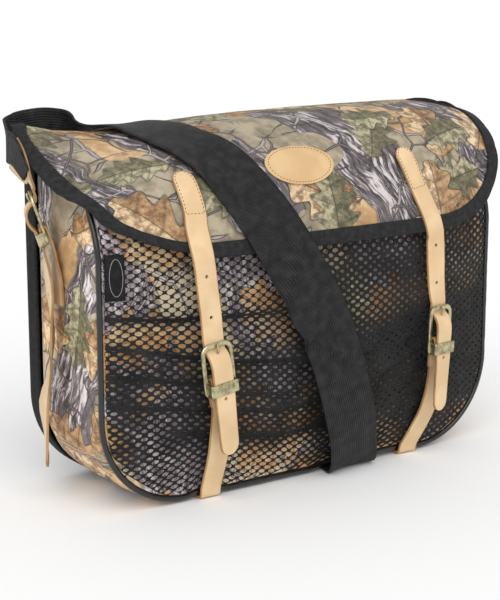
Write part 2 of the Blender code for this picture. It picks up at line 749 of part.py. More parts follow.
def prong(name, place):
    """Brass prong: a ring round the hinge bar and a shank whose tip rests on the frame."""
    ring = HINGE_HALF * math.sqrt(2) + 0.25 * MM + PRONG_RADIUS
    route = []
    for angle in steps(75, 345, 9):
        a = math.radians(angle)
        route.append((-HINGE_DROP + ring * math.cos(a), ring * math.sin(a)))
    tip_out = BUCKLE_PLATE / 2 + GAP + PRONG_RADIUS
    route += [(0.0, 0.3 * MM), (11 * MM, 1.0 * MM), (16.2 * MM, tip_out), (20.5 * MM, tip_out)]
    curve = bpy.data.curves.new(name, "CURVE")
    curve.dimensions = "3D"
    curve.bevel_depth = PRONG_RADIUS
    curve.bevel_resolution = 1
    curve.use_fill_caps = True
    spline = curve.splines.new("POLY")
    spline.points.add(len(route) - 1)
    for point, (up, out) in zip(spline.points, route):
        point.co = (0.0, -out, up, 1.0)
    curve.materials.append(material("brass"))
    made = bpy.data.objects.new(name, curve)
    PARTS.objects.link(made)
    made.parent = FRAME
    made.matrix_local = place
    return made


def in_buckle(place, up, out):
    """A point given by its height along the buckle and its distance out of it."""
    return place @ Vector((0.0, -out * MM, up * MM))


def strap_through(name, place, before, after, holes):
    """A leather strap: its upper stations, its way through the buckle, and its tail with a round end."""
    across = (place.to_3x3() @ Vector((1, 0, 0))).normalized()
    middle = [(in_buckle(place, up, out), across, STRAP_WIDTH) for up, out in THROUGH_BUCKLE]
    stations = before + middle + after
    away = (stations[-1][0] - stations[-2][0]).normalized()
    stations += round_end(stations[-1][0], stations[-1][1], away, STRAP_WIDTH, 0.8)
    made = ribbon(name, stations, LEATHER, "leather")
    low, high = PRONG_SLOT_UP
    size = (2 * PRONG_RADIUS + 0.8 * MM, 12 * MM, high - low)
    cut(made, hole_cutter(name + "_holes", holes, HOLE_RADIUS, 7 * MM))
    cut(made, box_tool(name + "_prong_slot", size, (0.0, 0.0, (low + high) / 2), place))
    return made


def anchor_strap(name, place, lower):
    """The leather that holds a buckle: looped round its hinge bar, slotted for the prong."""
    across = (place.to_3x3() @ Vector((1, 0, 0))).normalized()
    width = STRAP_WIDTH
    stations = [(in_buckle(place, up, out), across, width) for up, out in ANCHOR_FRONT]
    radius = ANCHOR_FRONT[-1][1]
    for angle in steps(90, -90, ANCHOR_TURN_STEPS + 2)[1:-1]:
        a = math.radians(angle)
        stations.append((in_buckle(place, -HINGE_DROP / MM + radius * math.cos(a), radius * math.sin(a)),
                         across, width))
    stations += [(in_buckle(place, up, out), across, width) for up, out in ANCHOR_BEHIND]
    stations += lower
    made = ribbon(name, stations, LEATHER, "leather")
    slot = box_tool(name + "_slot", (2 * PRONG_RADIUS + 1.4 * MM, 12 * MM, 11 * MM),
                    (0.0, 0.0, -HINGE_DROP + 1.0 * MM), place)
    cut(made, slot)
    return made


def front_set(side, table):
    """Strap, anchor, buckle and prong on the front."""
    x, z, yaw, roll = table["buckle"]
    depth = net_depth(x * MM, z * MM) - 5.6 * MM
    turn = Matrix.Rotation(math.radians(-yaw), 4, "Z") @ Matrix.Rotation(math.radians(roll), 4, "Y")
    place = Matrix.Translation((x * MM, depth, z * MM)) @ turn
    buckle("front_buckle_" + side, place)
    prong("front_prong_" + side, place)

    before = []
    level = Vector((1, 0, 0))
    sewn = table["sewn"]
    for z_mm, x_mm in sewn:
        spot = Vector((x_mm * MM, flap_front(z_mm * MM), z_mm * MM))
        if z_mm > 204:
            spot = flap_point(spot.x, spot.y, spot.z)
        else:
            spot.y = place.translation.y + 3.0 * MM
        before.append((spot, level, STRAP_WIDTH))
    away = (before[0][0] - before[1][0]).normalized()
    tip = [(middle, across, width) for middle, across, width in
           reversed(round_end(before[0][0], level, away, STRAP_WIDTH, 1.0))]
    before = tip + before

    across = (place.to_3x3() @ Vector((1, 0, 0))).normalized()
    after = [(in_buckle(place, up, out), across, STRAP_WIDTH) for up, out in FRONT_TAIL]
    out = Vector((0, -1, 0))
    holes = []
    for up in (2, 1):
        z_hole = z * MM + PRONG_SLOT_UP[0] + up * HOLE_PITCH
        x_hole = between([(-a, b) for a, b in sewn], -z_hole / MM) * MM
        holes.append((Vector((x_hole, place.translation.y + 2 * MM, z_hole)), out))
    low = in_buckle(place, -24.5, 5.0)
    holes.append((low, out))
    strap_through("front_strap_" + side, place, before, after, holes)

    lower = []
    for z_mm, x_mm in table["anchor"]:
        rest = net_depth(x_mm * MM, z_mm * MM) - LEATHER / 2 - 2 * GAP
        lower.append((Vector((x_mm * MM, rest, z_mm * MM)), level, STRAP_WIDTH))
    foot = table["foot"] * MM
    lower.append((Vector((foot, -PIPING_RADIUS - 1.8 * MM, 2.6 * MM)), level, STRAP_WIDTH))
    lower.append((Vector((foot, -0.6 * MM, 1.05 * MM)), level, STRAP_WIDTH))
    lower.append((Vector((foot, 12 * MM, 1.0 * MM)), level, STRAP_WIDTH))
    lower.append((Vector((foot, 32 * MM, 1.0 * MM)), level, STRAP_WIDTH))
    anchor_strap("front_anchor_" + side, place, lower)


def side_set(side, mirror):
    """Strap, anchor, buckle and prong that carry the webbing on one side."""
    x, y, z = SIDE_BUCKLE_AT
    lean = math.radians(SIDE_BUCKLE_LEAN)
    up = Vector((-math.sin(lean) * mirror, 0, math.cos(lean)))
    across = Vector((0, -mirror, 0))
    out = across.cross(up)
    turn = Matrix((across, -out, up)).transposed().to_4x4()
    place = Matrix.Translation((x * mirror * MM, y * MM, z * MM)) @ turn
    buckle("side_buckle_" + side, place)
    prong("side_prong_" + side, place)

    def world(row):
        return Vector((row[0] * mirror, row[1], row[2])) * MM

    widths = [34 * MM, 26 * MM, STRAP_WIDTH]
    before = [(world(row), across, width) for row, width in zip(SIDE_STRAP_TOP, widths)]
    after = [(world(row), across, STRAP_WIDTH) for row in SIDE_STRAP_TAIL]
    holes = [(world(SIDE_STRAP_TAIL[0]), out)]
    for index in (1, 2, 3):
        spot = world(SIDE_STRAP_TAIL[0])
        spot.z -= HOLE_PITCH * index
        holes.append((spot, Vector((-mirror, 0, 0))))
    strap_through("side_strap_" + side, place, before, after, holes)
    lower = [(world(row), across, STRAP_WIDTH) for row in SIDE_ANCHOR]
    anchor_strap("side_anchor_" + side, place, lower)


empty_scene()
PARTS = new_collection("hunting_game_bag")
CUTTERS = new_collection("cutters")
FRAME = bpy.data.objects.new("bag_frame", None)
PARTS.objects.link(FRAME)
FRAME.location = (-BOX_MIDDLE[0], -BOX_MIDDLE[1], 0.0)

front_panel()
gusset()
back_panel()
front_piping()
net_pocket()
flap()
flap_binding()
leather_patch()
woven_label()
shoulder_webbing()
for side, table in FRONT_STRAPS.items():
    front_set(side, table)
for side, mirror in (("left", 1.0), ("right", -1.0)):
    side_set(side, mirror)
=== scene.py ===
import math

import bmesh
import bpy
from mathutils import Matrix, Vector, noise

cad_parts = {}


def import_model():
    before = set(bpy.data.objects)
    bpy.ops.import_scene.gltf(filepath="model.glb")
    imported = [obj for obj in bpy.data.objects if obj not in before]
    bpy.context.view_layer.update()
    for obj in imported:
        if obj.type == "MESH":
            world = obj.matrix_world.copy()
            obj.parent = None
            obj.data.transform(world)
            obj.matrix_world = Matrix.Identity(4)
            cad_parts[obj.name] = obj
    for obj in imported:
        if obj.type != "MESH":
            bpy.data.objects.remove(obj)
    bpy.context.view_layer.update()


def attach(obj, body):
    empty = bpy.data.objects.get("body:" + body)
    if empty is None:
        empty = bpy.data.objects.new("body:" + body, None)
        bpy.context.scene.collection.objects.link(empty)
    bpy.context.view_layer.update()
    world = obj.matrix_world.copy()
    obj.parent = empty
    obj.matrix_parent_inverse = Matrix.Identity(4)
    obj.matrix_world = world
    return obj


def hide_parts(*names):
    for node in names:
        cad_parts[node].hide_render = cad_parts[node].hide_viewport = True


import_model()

MM = 0.001
MIDDLE = Vector((0.25, 48.5, -0.1))

# Body, in millimetres
HALF_WIDTH = 199.0
CORNER = 75.0
SEAM_RISE = 3.5
GUSSET_DEPTH = 97.0
BAG_DEPTH = 119.0
CROWN = 3.5
PANEL_TOP = 247.0
BACK_TOP = 283.0
SIDE_TOP = 286.0
BACK_EASE = 6.0
PANEL_BULGE = 16.0
BULGE_RISE = 130.0
DOME_START = 204.0
PIPING_RADIUS = 2.3
CLOTH = 1.6
BOTTOM_LIFT = [
    (-121, 0.0), (-115, 2.5), (-91, 2.5), (-84, 0.0),
    (4, 0.0), (12, 2.5), (117.5, 2.5), (122.5, 0.0),
]

# Net pocket: its cells, and its folds. Each fold is a list of x, height and overlap
NET_THICKNESS = 0.9
NET_TOP = 232.0
NET_BULGE = 29.0
NET_TUCK = 6.0
NET_STAND_OFF = 0.8
CELL_ACROSS = 10.0
CELL_DOWN = 6.9
HOLE_ACROSS = 3.6
HOLE_DOWN = 2.15
NET_FOLDS = [
    [(-196, 166, 13), (-150, 161, 12), (-110, 160, 8), (-60, 158, 3), (-20, 156, 0)],
    [(-196, 143, 10), (-140, 132, 12), (-80, 120, 12), (-10, 112, 9), (80, 108, 6), (140, 106, 0)],
    [(-196, 120, 13), (-130, 108, 12), (-80, 92, 6), (-20, 84, 0)],
    [(-196, 96, 11), (-120, 84, 11), (-40, 72, 10), (40, 80, 9), (110, 96, 8), (196, 118, 5)],
    [(-150, 70, 0), (-110, 60, 9), (-40, 48, 10), (40, 50, 8), (120, 60, 6), (196, 84, 3)],
    [(40, 150, 0), (90, 146, 7), (140, 148, 9), (196, 156, 6)],
]

# Flap and binding
FLAP_HALF_FRONT = 213.0
FLAP_HALF_SIDE = 224.0
FLAP_HALF_BACK = 206.0
FLAP_CORNER_ACROSS = 90.0
FLAP_CORNER_DOWN = 64.0
FLAP_BULGE_LOSS = (22.0, 14.0)
FLAP_SIDE_DROOP = (1.5, 7.0)
# The flap's left edge hangs lower than the right one and its corner is cut back.
# columns: y of the centre line, droop of the edge, how much narrower
FLAP_LEFT_EDGE = [
    (-28.5, 0, 60), (-28.2, 0, 62), (-27.3, 0, 42), (-25.7, 0, 26), (-22.5, 0, 12), (-19.5, 0, 6),
    (-13.4, 5.5, 8), (-6.7, 13, 7), (0, 21, 4.5), (10, 28, 2), (24, 34, 0), (40, 34, 0), (52, 30, 1),
    (66, 23.5, 1), (82, 15.5, 0), (92, 9, -2), (100, 3, -4), (106, 0, -9), (118, 0, -4), (121.6, 0, 0),
]
# How far the top of the flap sags. columns: x, sag
FLAP_SAG = [
    (-224, 0.0), (-205, 1.0), (-180, 7.5), (-150, 10.5), (-110, 9.0), (-75, 6.0), (-40, 4.0),
    (0, 2.5), (60, 1.5),
]
BINDING_WIDTH = 12.0
BINDING_THICKNESS = 2.4
FLAP_PROFILE = [
    (121.6, 274.0, 0.0), (121.6, 294.5, 0.0), (118.0, 300.6, 0.0), (106.0, 303.8, 0.25), (92.0, 304.8, 0.8),
    (76.0, 304.4, 1.0), (58.0, 302.6, 1.0), (40.0, 297.6, 0.9), (24.0, 289.4, 0.7), (10.0, 278.4, 0.5),
]

# Leather and buckles. The two clearances keep straps off the flap and the net
LEATHER = 2.0
OFF_FLAP = 1.1
OFF_NET = 0.7
STRAP_WIDTH = 20.0
HOLE_PITCH = 33.0
BUCKLE_OUTER = (31.0, 42.0)
BUCKLE_BAR = 4.0
BUCKLE_PLATE = 2.4
HINGE_DROP = 10.0
HINGE_HALF = 1.15
KEEPER_HEIGHT = 10.0
KEEPER_WIDTH = 27.0
KEEPER_REACH = 7.5
KEEPER_WALL = 1.1
PRONG_RADIUS = 1.0
PUNCH_RADIUS = 1.5
BUCKLE_OFF_NET = 5.6
PATCH_SIZE = (68.0, 38.6)
PATCH_X = -10.0
# Rings of the patch from its middle: part of its size, height over the flap
PATCH_RINGS = [
    (0.02, 1.35), (0.3, 1.35), (0.6, 1.35), (0.84, 1.35), (0.88, 1.15), (0.915, 1.15),
    (0.94, 1.35), (0.98, 1.3), (1.0, 1.0), (1.0, 0.4),
]
LABEL_SIZE = (15.0, 36.0)
LABEL_AT = (-188.5, 194.0)
# A strap's way through a buckle. columns: height along the buckle, distance out of it
THROUGH_BUCKLE = [
    (25, -3.3), (20.5, -3.1), (16.5, -3.0), (13.6, -1.6), (11.2, 1.2), (8, 3.4), (3, 5.0),
    (-4, 5.35), (-11, 5.15), (-21, 5.15), (-25, 5.1),
]
FRONT_TAIL = [(-31, 5.0), (-45, 4.6), (-58, 4.4), (-64, 4.4)]
ANCHOR_FRONT = [(-22, 2.75), (-18, 2.75), (-13.5, 2.75)]
ANCHOR_BEHIND = [(-13.5, -2.8), (-19, -2.8), (-26, -2.9)]
PRONG_SLOT_LOW = 8.0
# sewn and anchor rows: z, x. buckle: x, z, yaw, roll. foot: x where it passes under the bag
FRONT_STRAPS = {
    "left": {
        "sewn": [(263, -122.5), (251, -121.5), (238, -121.5), (228, -122.8), (216, -122.5), (204, -121.5),
                 (182, -118.5), (160, -115.5)],
        "buckle": (-110.5, 117.0, -3.0, -7.0),
        "tail_turn": 8.0,
        "anchor": [(84, -103), (62, -102), (42, -101), (24, -101), (10, -101)],
        "foot": -101.5,
    },
    "right": {
        "sewn": [(264, 100), (252, 101.5), (240, 103.5), (226, 107.5), (212, 112), (196, 115.5),
                 (182, 116.5), (160, 117.5)],
        "buckle": (120.5, 117.0, -12.0, 2.5),
        "tail_turn": 5.0,
        "anchor": [(84, 124), (62, 124.5), (42, 122), (24, 116), (10, 110)],
        "foot": 107.5,
    },
}
SIDE_BUCKLE_AT = (-217.5, 61.0, 235.0)
SIDE_BUCKLE_LEAN = 18.0
SIDE_BUCKLE_TURN = 24.0
# columns: x, y, z, width, then the direction from edge to edge
SIDE_STRAP_TOP = [
    (-225.0, 86.0, 283.0, 30, 0, -0.39, 0.92), (-225.0, 77.0, 277.5, 27, 0, -0.45, 0.89),
    (-224.8, 68.5, 270.5, 23, -0.1, -0.6, 0.78), (-223.6, 62.5, 263.5, 20, -0.3, -0.85, 0.35),
]
# columns: x, y, z, turn about the upright in degrees
SIDE_STRAP_TAIL = [
    (-213.5, 60.0, 205, 24), (-212.0, 59.0, 190, 14), (-211.0, 57.5, 172, 14), (-210.5, 56.5, 141, 34),
    (-212.5, 58.0, 110, 24), (-217.0, 62.0, 83, 8), (-215.5, 62.5, 58, 20), (-215.0, 62.5, 38, 30),
]
SIDE_ANCHOR = [
    (-206.0, 57.0, 202, 20), (-205.0, 57.5, 190, 8), (-204.4, 58.0, 176, 0), (-204.4, 58.0, 164, 0),
]
THROUGH_SIDE_BUCKLE = [
    (25, -3.3), (20.5, -3.1), (16.5, -3.0), (13.6, -1.6), (12.2, 1.6), (10.5, 5), (7, 8), (1, 9.4),
    (-5, 8.4), (-11, 5.6), (-21, 5.15), (-25, 5.1),
]

# Shoulder webbing. columns: x, y, z, then the direction from its first edge to its second edge
WEBBING_WIDTH = 50.0
WEBBING = 1.9
WEBBING_ROWS_ON_FLAP = (9, 20)
WEBBING_END_WIDTHS = (12, 18, 22, 24, 26, 40, WEBBING_WIDTH)
# Creases on the front: their two ends (x, z), then height and half width
WEBBING_CREASES = [((-38, 210), (-49, 166), 6.5, 4.5), ((-36, 133), (22, 106), 6.5, 4.0)]
WEBBING_ROUTE = [
    (-227.5, 60.2, 268.4, 0.00, 0.39, -0.92),
    (-227.5, 70, 277, 0.00, 0.39, -0.92),
    (-227.2, 79, 283.4, 0.00, 0.39, -0.92),
    (-226.2, 89, 286.5, 0.00, 0.30, -0.95),
    (-224.5, 98, 287.5, 0.05, 0.15, -0.98),
    (-214, 114, 287, 0.30, 0.00, -0.95),
    (-203, 127, 285, 0.12, 0.04, -0.99),
    (-190, 132, 286, 0.05, -0.06, -0.99),
    (-174, 133.5, 287, 0.00, 0.04, -1.00),
    (-157, 133, 285.5, 0.00, 0.20, -0.98),
    (-140, 126, 289, 0.15, 0.75, -0.64),
    (-125, 104, 297, 0.45, 0.88, -0.15),
    (-113, 80, 296.5, 0.62, 0.77, 0.03),
    (-104, 52, 293, 0.75, 0.62, 0.20),
    (-96, 25, 285, 0.80, 0.45, 0.38),
    (-86, 5, 274, 0.84, 0.30, 0.45),
    (-75, -11, 257, 0.86, 0.22, 0.46),
    (-63, -23, 236, 0.87, 0.12, 0.47),
    (-50, -32, 212, 0.88, 0.04, 0.47),
    (-36, -37, 186, 0.88, -0.02, 0.47),
    (-22, -39, 160, 0.89, -0.06, 0.45),
    (-9, -39.5, 134, 0.92, -0.04, 0.36),
    (1, -39.5, 110, 0.97, 0.00, 0.24),
    (9, -39, 86, 0.97, 0.00, 0.24),
    (17, -37, 62, 0.96, 0.00, 0.27),
    (26, -31, 38, 0.97, 0.04, 0.23),
    (35, -20, 15, 0.99, 0.07, 0.12),
    (40, -9, 3.6, 1.00, 0.03, 0.03),
    (43, 4, 1.0, 1.00, 0.00, 0.00),
    (46, 30, 1.0, 1.00, 0.00, 0.00),
    (49, 62, 1.0, 1.00, 0.00, 0.00),
    (52, 96, 1.0, 1.00, 0.00, 0.00),
    (54, 113, 1.0, 1.00, 0.00, 0.00),
    (56, 121.6, 1.2, 1.00, 0.00, 0.00),
    (58, 124.2, 4.6, 1.00, 0.00, 0.00),
    (60, 125, 12, 0.98, 0.00, -0.12),
    (67, 125, 30, 0.94, 0.00, -0.34),
    (83, 127, 70, 0.92, 0.00, -0.40),
    (102, 128, 112, 0.91, 0.00, -0.42),
    (123, 129, 155, 0.89, 0.00, -0.46),
    (146, 130, 195, 0.86, 0.00, -0.51),
    (170, 131, 230, 0.78, 0.00, -0.62),
    (192, 131.5, 257, 0.50, 0.00, -0.86),
    (207, 128, 273, 0.00, 0.04, -0.99),
    (217, 114, 282, -0.12, 0.00, -0.99),
    (224.5, 98, 286, -0.05, 0.15, -0.98),
    (226.2, 89, 286.5, 0.00, 0.30, -0.95),
    (227.2, 79, 283.4, 0.00, 0.39, -0.92),
    (227.5, 70, 277, 0.00, 0.39, -0.92),
    (227.5, 60.2, 268.4, 0.00, 0.39, -0.92),
]

# The photograph's camera, in millimetres and degrees
CAMERA_TARGET = Vector((-59.0, 0.0, 159.7))
CAMERA_DISTANCE = 1293.8
CAMERA_YAW = 34.5
CAMERA_PITCH = 12.5
CAMERA_LENS = 95.2
SENSOR = 36.0

# Studio
PAPER_TONE = (0.97, 0.97, 0.97, 1)
PAPER_ROUGHNESS = 0.9
FLOOR_SIZE = 60.0
FLOOR_DROP = 0.0004
SKY_STRENGTH = 0.7
SUN_STRENGTH = 1.6
SUN_ANGLE = 65
SUN_FROM = Vector((-0.35, -0.6, 0.72))


# Small helpers

def steps(first, last, count):
    """Evenly spaced numbers from first to last."""
    return [first + (last - first) * i / (count - 1) for i in range(count)]


def clamp(x, low=0.0, high=1.0):
    return min(max(x, low), high)


def smooth(x):
    """0 to 1 with flat ends."""
    x = clamp(x)
    return x * x * (3 - 2 * x)


def between(table, x):
    """Straight-line reading of a table of rows that start with x; gives the other columns."""
    if x <= table[0][0]:
        return table[0][1:]
    for a, b in zip(table, table[1:]):
        if x <= b[0]:
            part = (x - a[0]) / (b[0] - a[0])
            return tuple(p + (q - p) * part for p, q in zip(a[1:], b[1:]))
    return table[-1][1:]


def smooth_route(points, per_span):
    """Points on a Catmull-Rom curve through the given vectors."""
    made = []
    for i in range(len(points) - 1):
        before = points[max(i - 1, 0)]
        here = points[i]
        ahead = points[i + 1]
        beyond = points[min(i + 2, len(points) - 1)]
        for j in range(per_span):
            t = j / per_span
            made.append(0.5 * (2 * here + (ahead - before) * t
                               + (2 * before - 5 * here + 4 * ahead - beyond) * t * t
                               + (3 * here - before - 3 * ahead + beyond) * t ** 3))
    made.append(points[-1].copy())
    return made


def lengths_along(points):
    """Running length at each point."""
    total = [0.0]
    for a, b in zip(points, points[1:]):
        total.append(total[-1] + (b - a).length)
    return total


def heading(points, i):
    """Direction of a line of points at one of them."""
    return points[min(i + 1, len(points) - 1)] - points[max(i - 1, 0)]


def square_to(side, ahead):
    """The part of side that is square to ahead, as a unit vector."""
    return (side - ahead * side.dot(ahead) / ahead.length_squared).normalized()


def circle(radius, count):
    """Points of a circle, from the right and then up."""
    return [(radius * math.cos(a), radius * math.sin(a)) for a in steps(0, 2 * math.pi, count + 1)[:-1]]


def wavy(x, y, size, seed=0.0):
    """Soft noise from -1 to 1, with features about the given size in millimetres."""
    return noise.noise(Vector((x / size, y / size, seed)))


# The bag's surfaces

def dome_lean(z):
    """How far the front leans back above the dome's start."""
    if z <= DOME_START:
        return 0.0
    return 20.5 * ((z - DOME_START) / 52.0) ** 1.6


def bottom_lift(x, z):
    """Lift of the cloth where straps pass under the bag, fading out above it."""
    return between(BOTTOM_LIFT, x)[0] * max(0.0, 1 - z / 40.0)


def half_width_at(z, half, bottom, radius):
    """Half width of a U outline with round lower corners."""
    height = z - bottom
    if height >= radius:
        return half
    return half - radius + math.sqrt(max(radius ** 2 - (radius - height) ** 2, 0.0))


def inside_piping():
    """Half width, bottom and corner radius of the outline that fits inside the piping."""
    inset = PIPING_RADIUS + 0.7
    return HALF_WIDTH - inset, SEAM_RISE + inset, CORNER - inset


def bulge(x, z):
    """Pillow shape of the front, 0 at its edges and 1 in the middle."""
    half, bottom, radius = inside_piping()
    edge = max(half_width_at(z, half, bottom, radius), 1e-6)
    across = 1 - min(abs(x) / edge, 1.0) ** 3
    up = 1 - (1 - clamp((z - bottom) / BULGE_RISE)) ** 2.2
    return across * up


def panel_depth(x, z):
    """Outer face of the front panel."""
    return -PANEL_BULGE * bulge(x, z) + dome_lean(z)


def net_depth(x, z):
    """Outermost face of the net pocket."""
    tuck = NET_TUCK * clamp((z - 165) / 35)
    return -(NET_BULGE - tuck) * bulge(x, z) - NET_STAND_OFF - 1.2 + dome_lean(z)


def flap_front(z):
    """Centre line of the flap's front, outer face."""
    return -28.5 + dome_lean(z)


def flap_line(inset, per_span, arc):
    """Rows of the flap from its seam to its hem: (y, z, half width)."""
    rows = []
    for y, z, share in FLAP_PROFILE:
        back = FLAP_HALF_BACK + (FLAP_HALF_SIDE - FLAP_HALF_BACK) * share
        side = FLAP_HALF_SIDE + (FLAP_HALF_FRONT - FLAP_HALF_SIDE) * max(0.0, (60 - y) / 70)
        half = min(back, side) if y > 80 else side
        rows.append(Vector((y, z, half - inset)))
    corner_top = DOME_START + FLAP_CORNER_DOWN
    down = FLAP_CORNER_DOWN - inset
    front = []
    for angle in steps(0, 90, arc):
        s = math.sin(math.radians(angle))
        c = math.cos(math.radians(angle))
        z = corner_top - down * s
        half = FLAP_HALF_FRONT - FLAP_CORNER_ACROSS + (FLAP_CORNER_ACROSS - inset) * c
        front.append(Vector((flap_front(z), z, half)))
    return smooth_route(rows + front[:1], per_span)[:-1] + front


def flap_point(x, y, z):
    """The flap's outer face at x, from its centre line: flatter towards the sides, with drooping edges."""
    right = 1 if x > 0 else 0
    droop, narrower = (0.0, 0.0) if right else between(FLAP_LEFT_EDGE, y)
    outward = abs(x) / FLAP_HALF_SIDE
    x += narrower * outward ** 2
    off_centre = abs(x)
    frontness = clamp((300 - z) / 70) if y < 60 else 0.0
    loss = FLAP_BULGE_LOSS[right] * min(off_centre / HALF_WIDTH, 1.04) ** 3 * frontness
    over = max(off_centre - 165, 0.0) / 50
    top = clamp((z - 250) / 40) if y < 110 else 0.0
    on_top = clamp((z - 274) / 18) if y > 60 else clamp((z - 262) / 36)
    fall = FLAP_SIDE_DROOP[right] * over ** 2 * top + between(FLAP_SAG, x)[0] * on_top + droop * outward ** 4
    return Vector((x, y + loss, z - fall))


FLAP_CENTRE = [(row.x, row.y) for row in flap_line(0.0, 2, 16)][4:]


def stand_off_flap(point, clearance):
    """Move a point out of the flap until it is the clearance away, in the plane across the flap."""
    line = [flap_point(point.x, y, z) for y, z in FLAP_CENTRE]
    best = None
    for a, b in zip(line, line[1:]):
        edge = Vector((b.y - a.y, b.z - a.z))
        to_point = Vector((point.y - a.y, point.z - a.z))
        along = clamp(to_point.dot(edge) / edge.length_squared)
        away = to_point - edge * along
        normal = Vector((edge.y, -edge.x)).normalized()
        if best is None or away.length < best[0]:
            best = (away.length, away.dot(normal), normal)
    distance, side, normal = best
    short = clearance - side if side >= 0 or distance < 30 else 0.0
    if short <= 0:
        return point
    return Vector((point.x, point.y + normal.x * short, point.z + normal.y * short))


def clear_of_net(point, clearance):
    """Move a point forward until it is the clearance in front of the net."""
    if point.z > NET_TOP or point.z < SEAM_RISE or point.y > 0:
        return point
    limit = net_depth(point.x, point.z) - clearance
    return Vector((point.x, min(point.y, limit), point.z))


def u_stations(half, bottom, radius, top, along=60, turn=16, floor=70):
    """Points (x, z, out_x, out_z) down the left side, along the bottom and up the right side."""
    left = [(-half, z, -1.0, 0.0) for z in steps(top, bottom + radius, along)]
    for a in steps(0, 90, turn)[1:]:
        c = math.cos(math.radians(a))
        s = math.sin(math.radians(a))
        left.append((-(half - radius) - radius * c, bottom + radius - radius * s, -c, -s))
    middle = [(x, bottom, 0.0, -1.0) for x in steps(-(half - radius), half - radius, floor)[1:-1]]
    right = [(-x, z, -ox, oz) for x, z, ox, oz in reversed(left)]
    return left + middle + right


# Node-tree helpers

def srgb(r, g, b):
    """Linear colour from the 0 to 255 values seen on screen."""
    def linear(v):
        v = v / 255
        return v / 12.92 if v <= 0.04045 else ((v + 0.055) / 1.055) ** 2.4
    return (linear(r), linear(g), linear(b), 1.0)


def operation(kind):
    """A method that adds a Math node of the kind."""
    def method(term, *others):
        node = term.tree.nodes.new("ShaderNodeMath")
        node.operation = kind
        for index, value in enumerate((term, *others)):
            plug(term.tree, value, node.inputs[index])
        return Term(term.tree, node.outputs[0])
    return method


class Term:
    """An output socket that can be used in sums."""

    __add__ = operation("ADD")
    __sub__ = operation("SUBTRACT")
    __mul__ = operation("MULTIPLY")
    __truediv__ = operation("DIVIDE")
    sin = operation("SINE")
    cos = operation("COSINE")
    abs = operation("ABSOLUTE")
    frac = operation("FRACT")
    power = operation("POWER")
    least = operation("MINIMUM")
    most = operation("MAXIMUM")

    def __init__(self, tree, socket):
        self.tree = tree
        self.socket = socket

    def step(self, low, high):
        """0 below low and 1 above high, smooth between. low may be above high."""
        node = self.tree.nodes.new("ShaderNodeMapRange")
        node.interpolation_type = "SMOOTHSTEP"
        flip = low > high
        plug(self.tree, self, node.inputs["Value"])
        node.inputs["From Min"].default_value = min(low, high)
        node.inputs["From Max"].default_value = max(low, high)
        node.inputs["To Min"].default_value = 1.0 if flip else 0.0
        node.inputs["To Max"].default_value = 0.0 if flip else 1.0
        return Term(self.tree, node.outputs["Result"])


def plug(tree, value, socket):
    if isinstance(value, Term):
        tree.links.new(value.socket, socket)
    else:
        socket.default_value = value


class Stuff:
    """A material with its shader, and the nodes that the recipes below use."""

    def __init__(self, name, slot):
        self.material = bpy.data.materials.new(name)
        self.material.use_nodes = True
        self.slot = slot
        self.tree = self.material.node_tree
        self.shader = self.tree.nodes["Principled BSDF"]

    def set(self, **values):
        for name, value in values.items():
            label = name.replace("_", " ").title().replace("Ior", "IOR")
            plug(self.tree, value, self.shader.inputs[label])

    def flat(self):
        """The cloth's own flat coordinates in millimetres, as x and y."""
        node = self.tree.nodes.new("ShaderNodeUVMap")
        node.uv_map = "flat"
        return [part * 1000.0 for part in self.parts(Term(self.tree, node.outputs[0]))[:2]]

    def place(self):
        """The point in the object's frame in millimetres, as x, y and z."""
        node = self.tree.nodes.new("ShaderNodeTexCoord")
        return [part * 1000.0 for part in self.parts(Term(self.tree, node.outputs["Object"]))]

    def vector(self, x, y, z=0.0):
        node = self.tree.nodes.new("ShaderNodeCombineXYZ")
        for value, socket in zip((x, y, z), node.inputs):
            plug(self.tree, value, socket)
        return Term(self.tree, node.outputs[0])

    def parts(self, vector):
        node = self.tree.nodes.new("ShaderNodeSeparateXYZ")
        plug(self.tree, vector, node.inputs[0])
        return [Term(self.tree, socket) for socket in node.outputs]

    def noise(self, x, y, z=0.0, size=10.0, detail=2.0, rough=0.5):
        node = self.tree.nodes.new("ShaderNodeTexNoise")
        plug(self.tree, self.vector(x, y, z), node.inputs["Vector"])
        node.inputs["Scale"].default_value = 1.0 / size
        node.inputs["Detail"].default_value = detail
        node.inputs["Roughness"].default_value = rough
        return Term(self.tree, node.outputs["Fac"])

    def cells(self, x, y, size, randomness=1.0, feature="F1"):
        """Voronoi cells of about the given size: its outputs by name."""
        node = self.tree.nodes.new("ShaderNodeTexVoronoi")
        node.voronoi_dimensions = "2D"
        node.feature = feature
        plug(self.tree, self.vector(x / size, y / size), node.inputs["Vector"])
        node.inputs["Scale"].default_value = 1.0
        node.inputs["Randomness"].default_value = randomness
        return {socket.name: Term(self.tree, socket) for socket in node.outputs if socket.enabled}

    def mix(self, part, first, second):
        """Colour from first to second."""
        node = self.tree.nodes.new("ShaderNodeMix")
        node.data_type = "RGBA"
        plug(self.tree, part, node.inputs[0])
        plug(self.tree, first, node.inputs[6])
        plug(self.tree, second, node.inputs[7])
        return Term(self.tree, node.outputs[2])

    def bump(self, height, distance, strength=1.0):
        """Bump from a height of 0 to 1 over a distance in millimetres."""
        node = self.tree.nodes.new("ShaderNodeBump")
        node.inputs["Strength"].default_value = strength
        node.inputs["Distance"].default_value = distance * MM
        plug(self.tree, height, node.inputs["Height"])
        plug(self.tree, Term(self.tree, node.outputs[0]), self.shader.inputs["Normal"])


# Materials

# How shiny the black cloths are
BLACK_SHINE = 0.2

# Print, in millimetres and screen colours
BARK_PITCH = 124.0
# columns: cell size, seed, thickness, dark edge, light middle
TWIGS = [
    (52.0, 12.0, 1.9, (66, 58, 60), (182, 172, 168)),
    (33.0, 15.0, 1.0, (62, 54, 56), (132, 122, 120)),
]
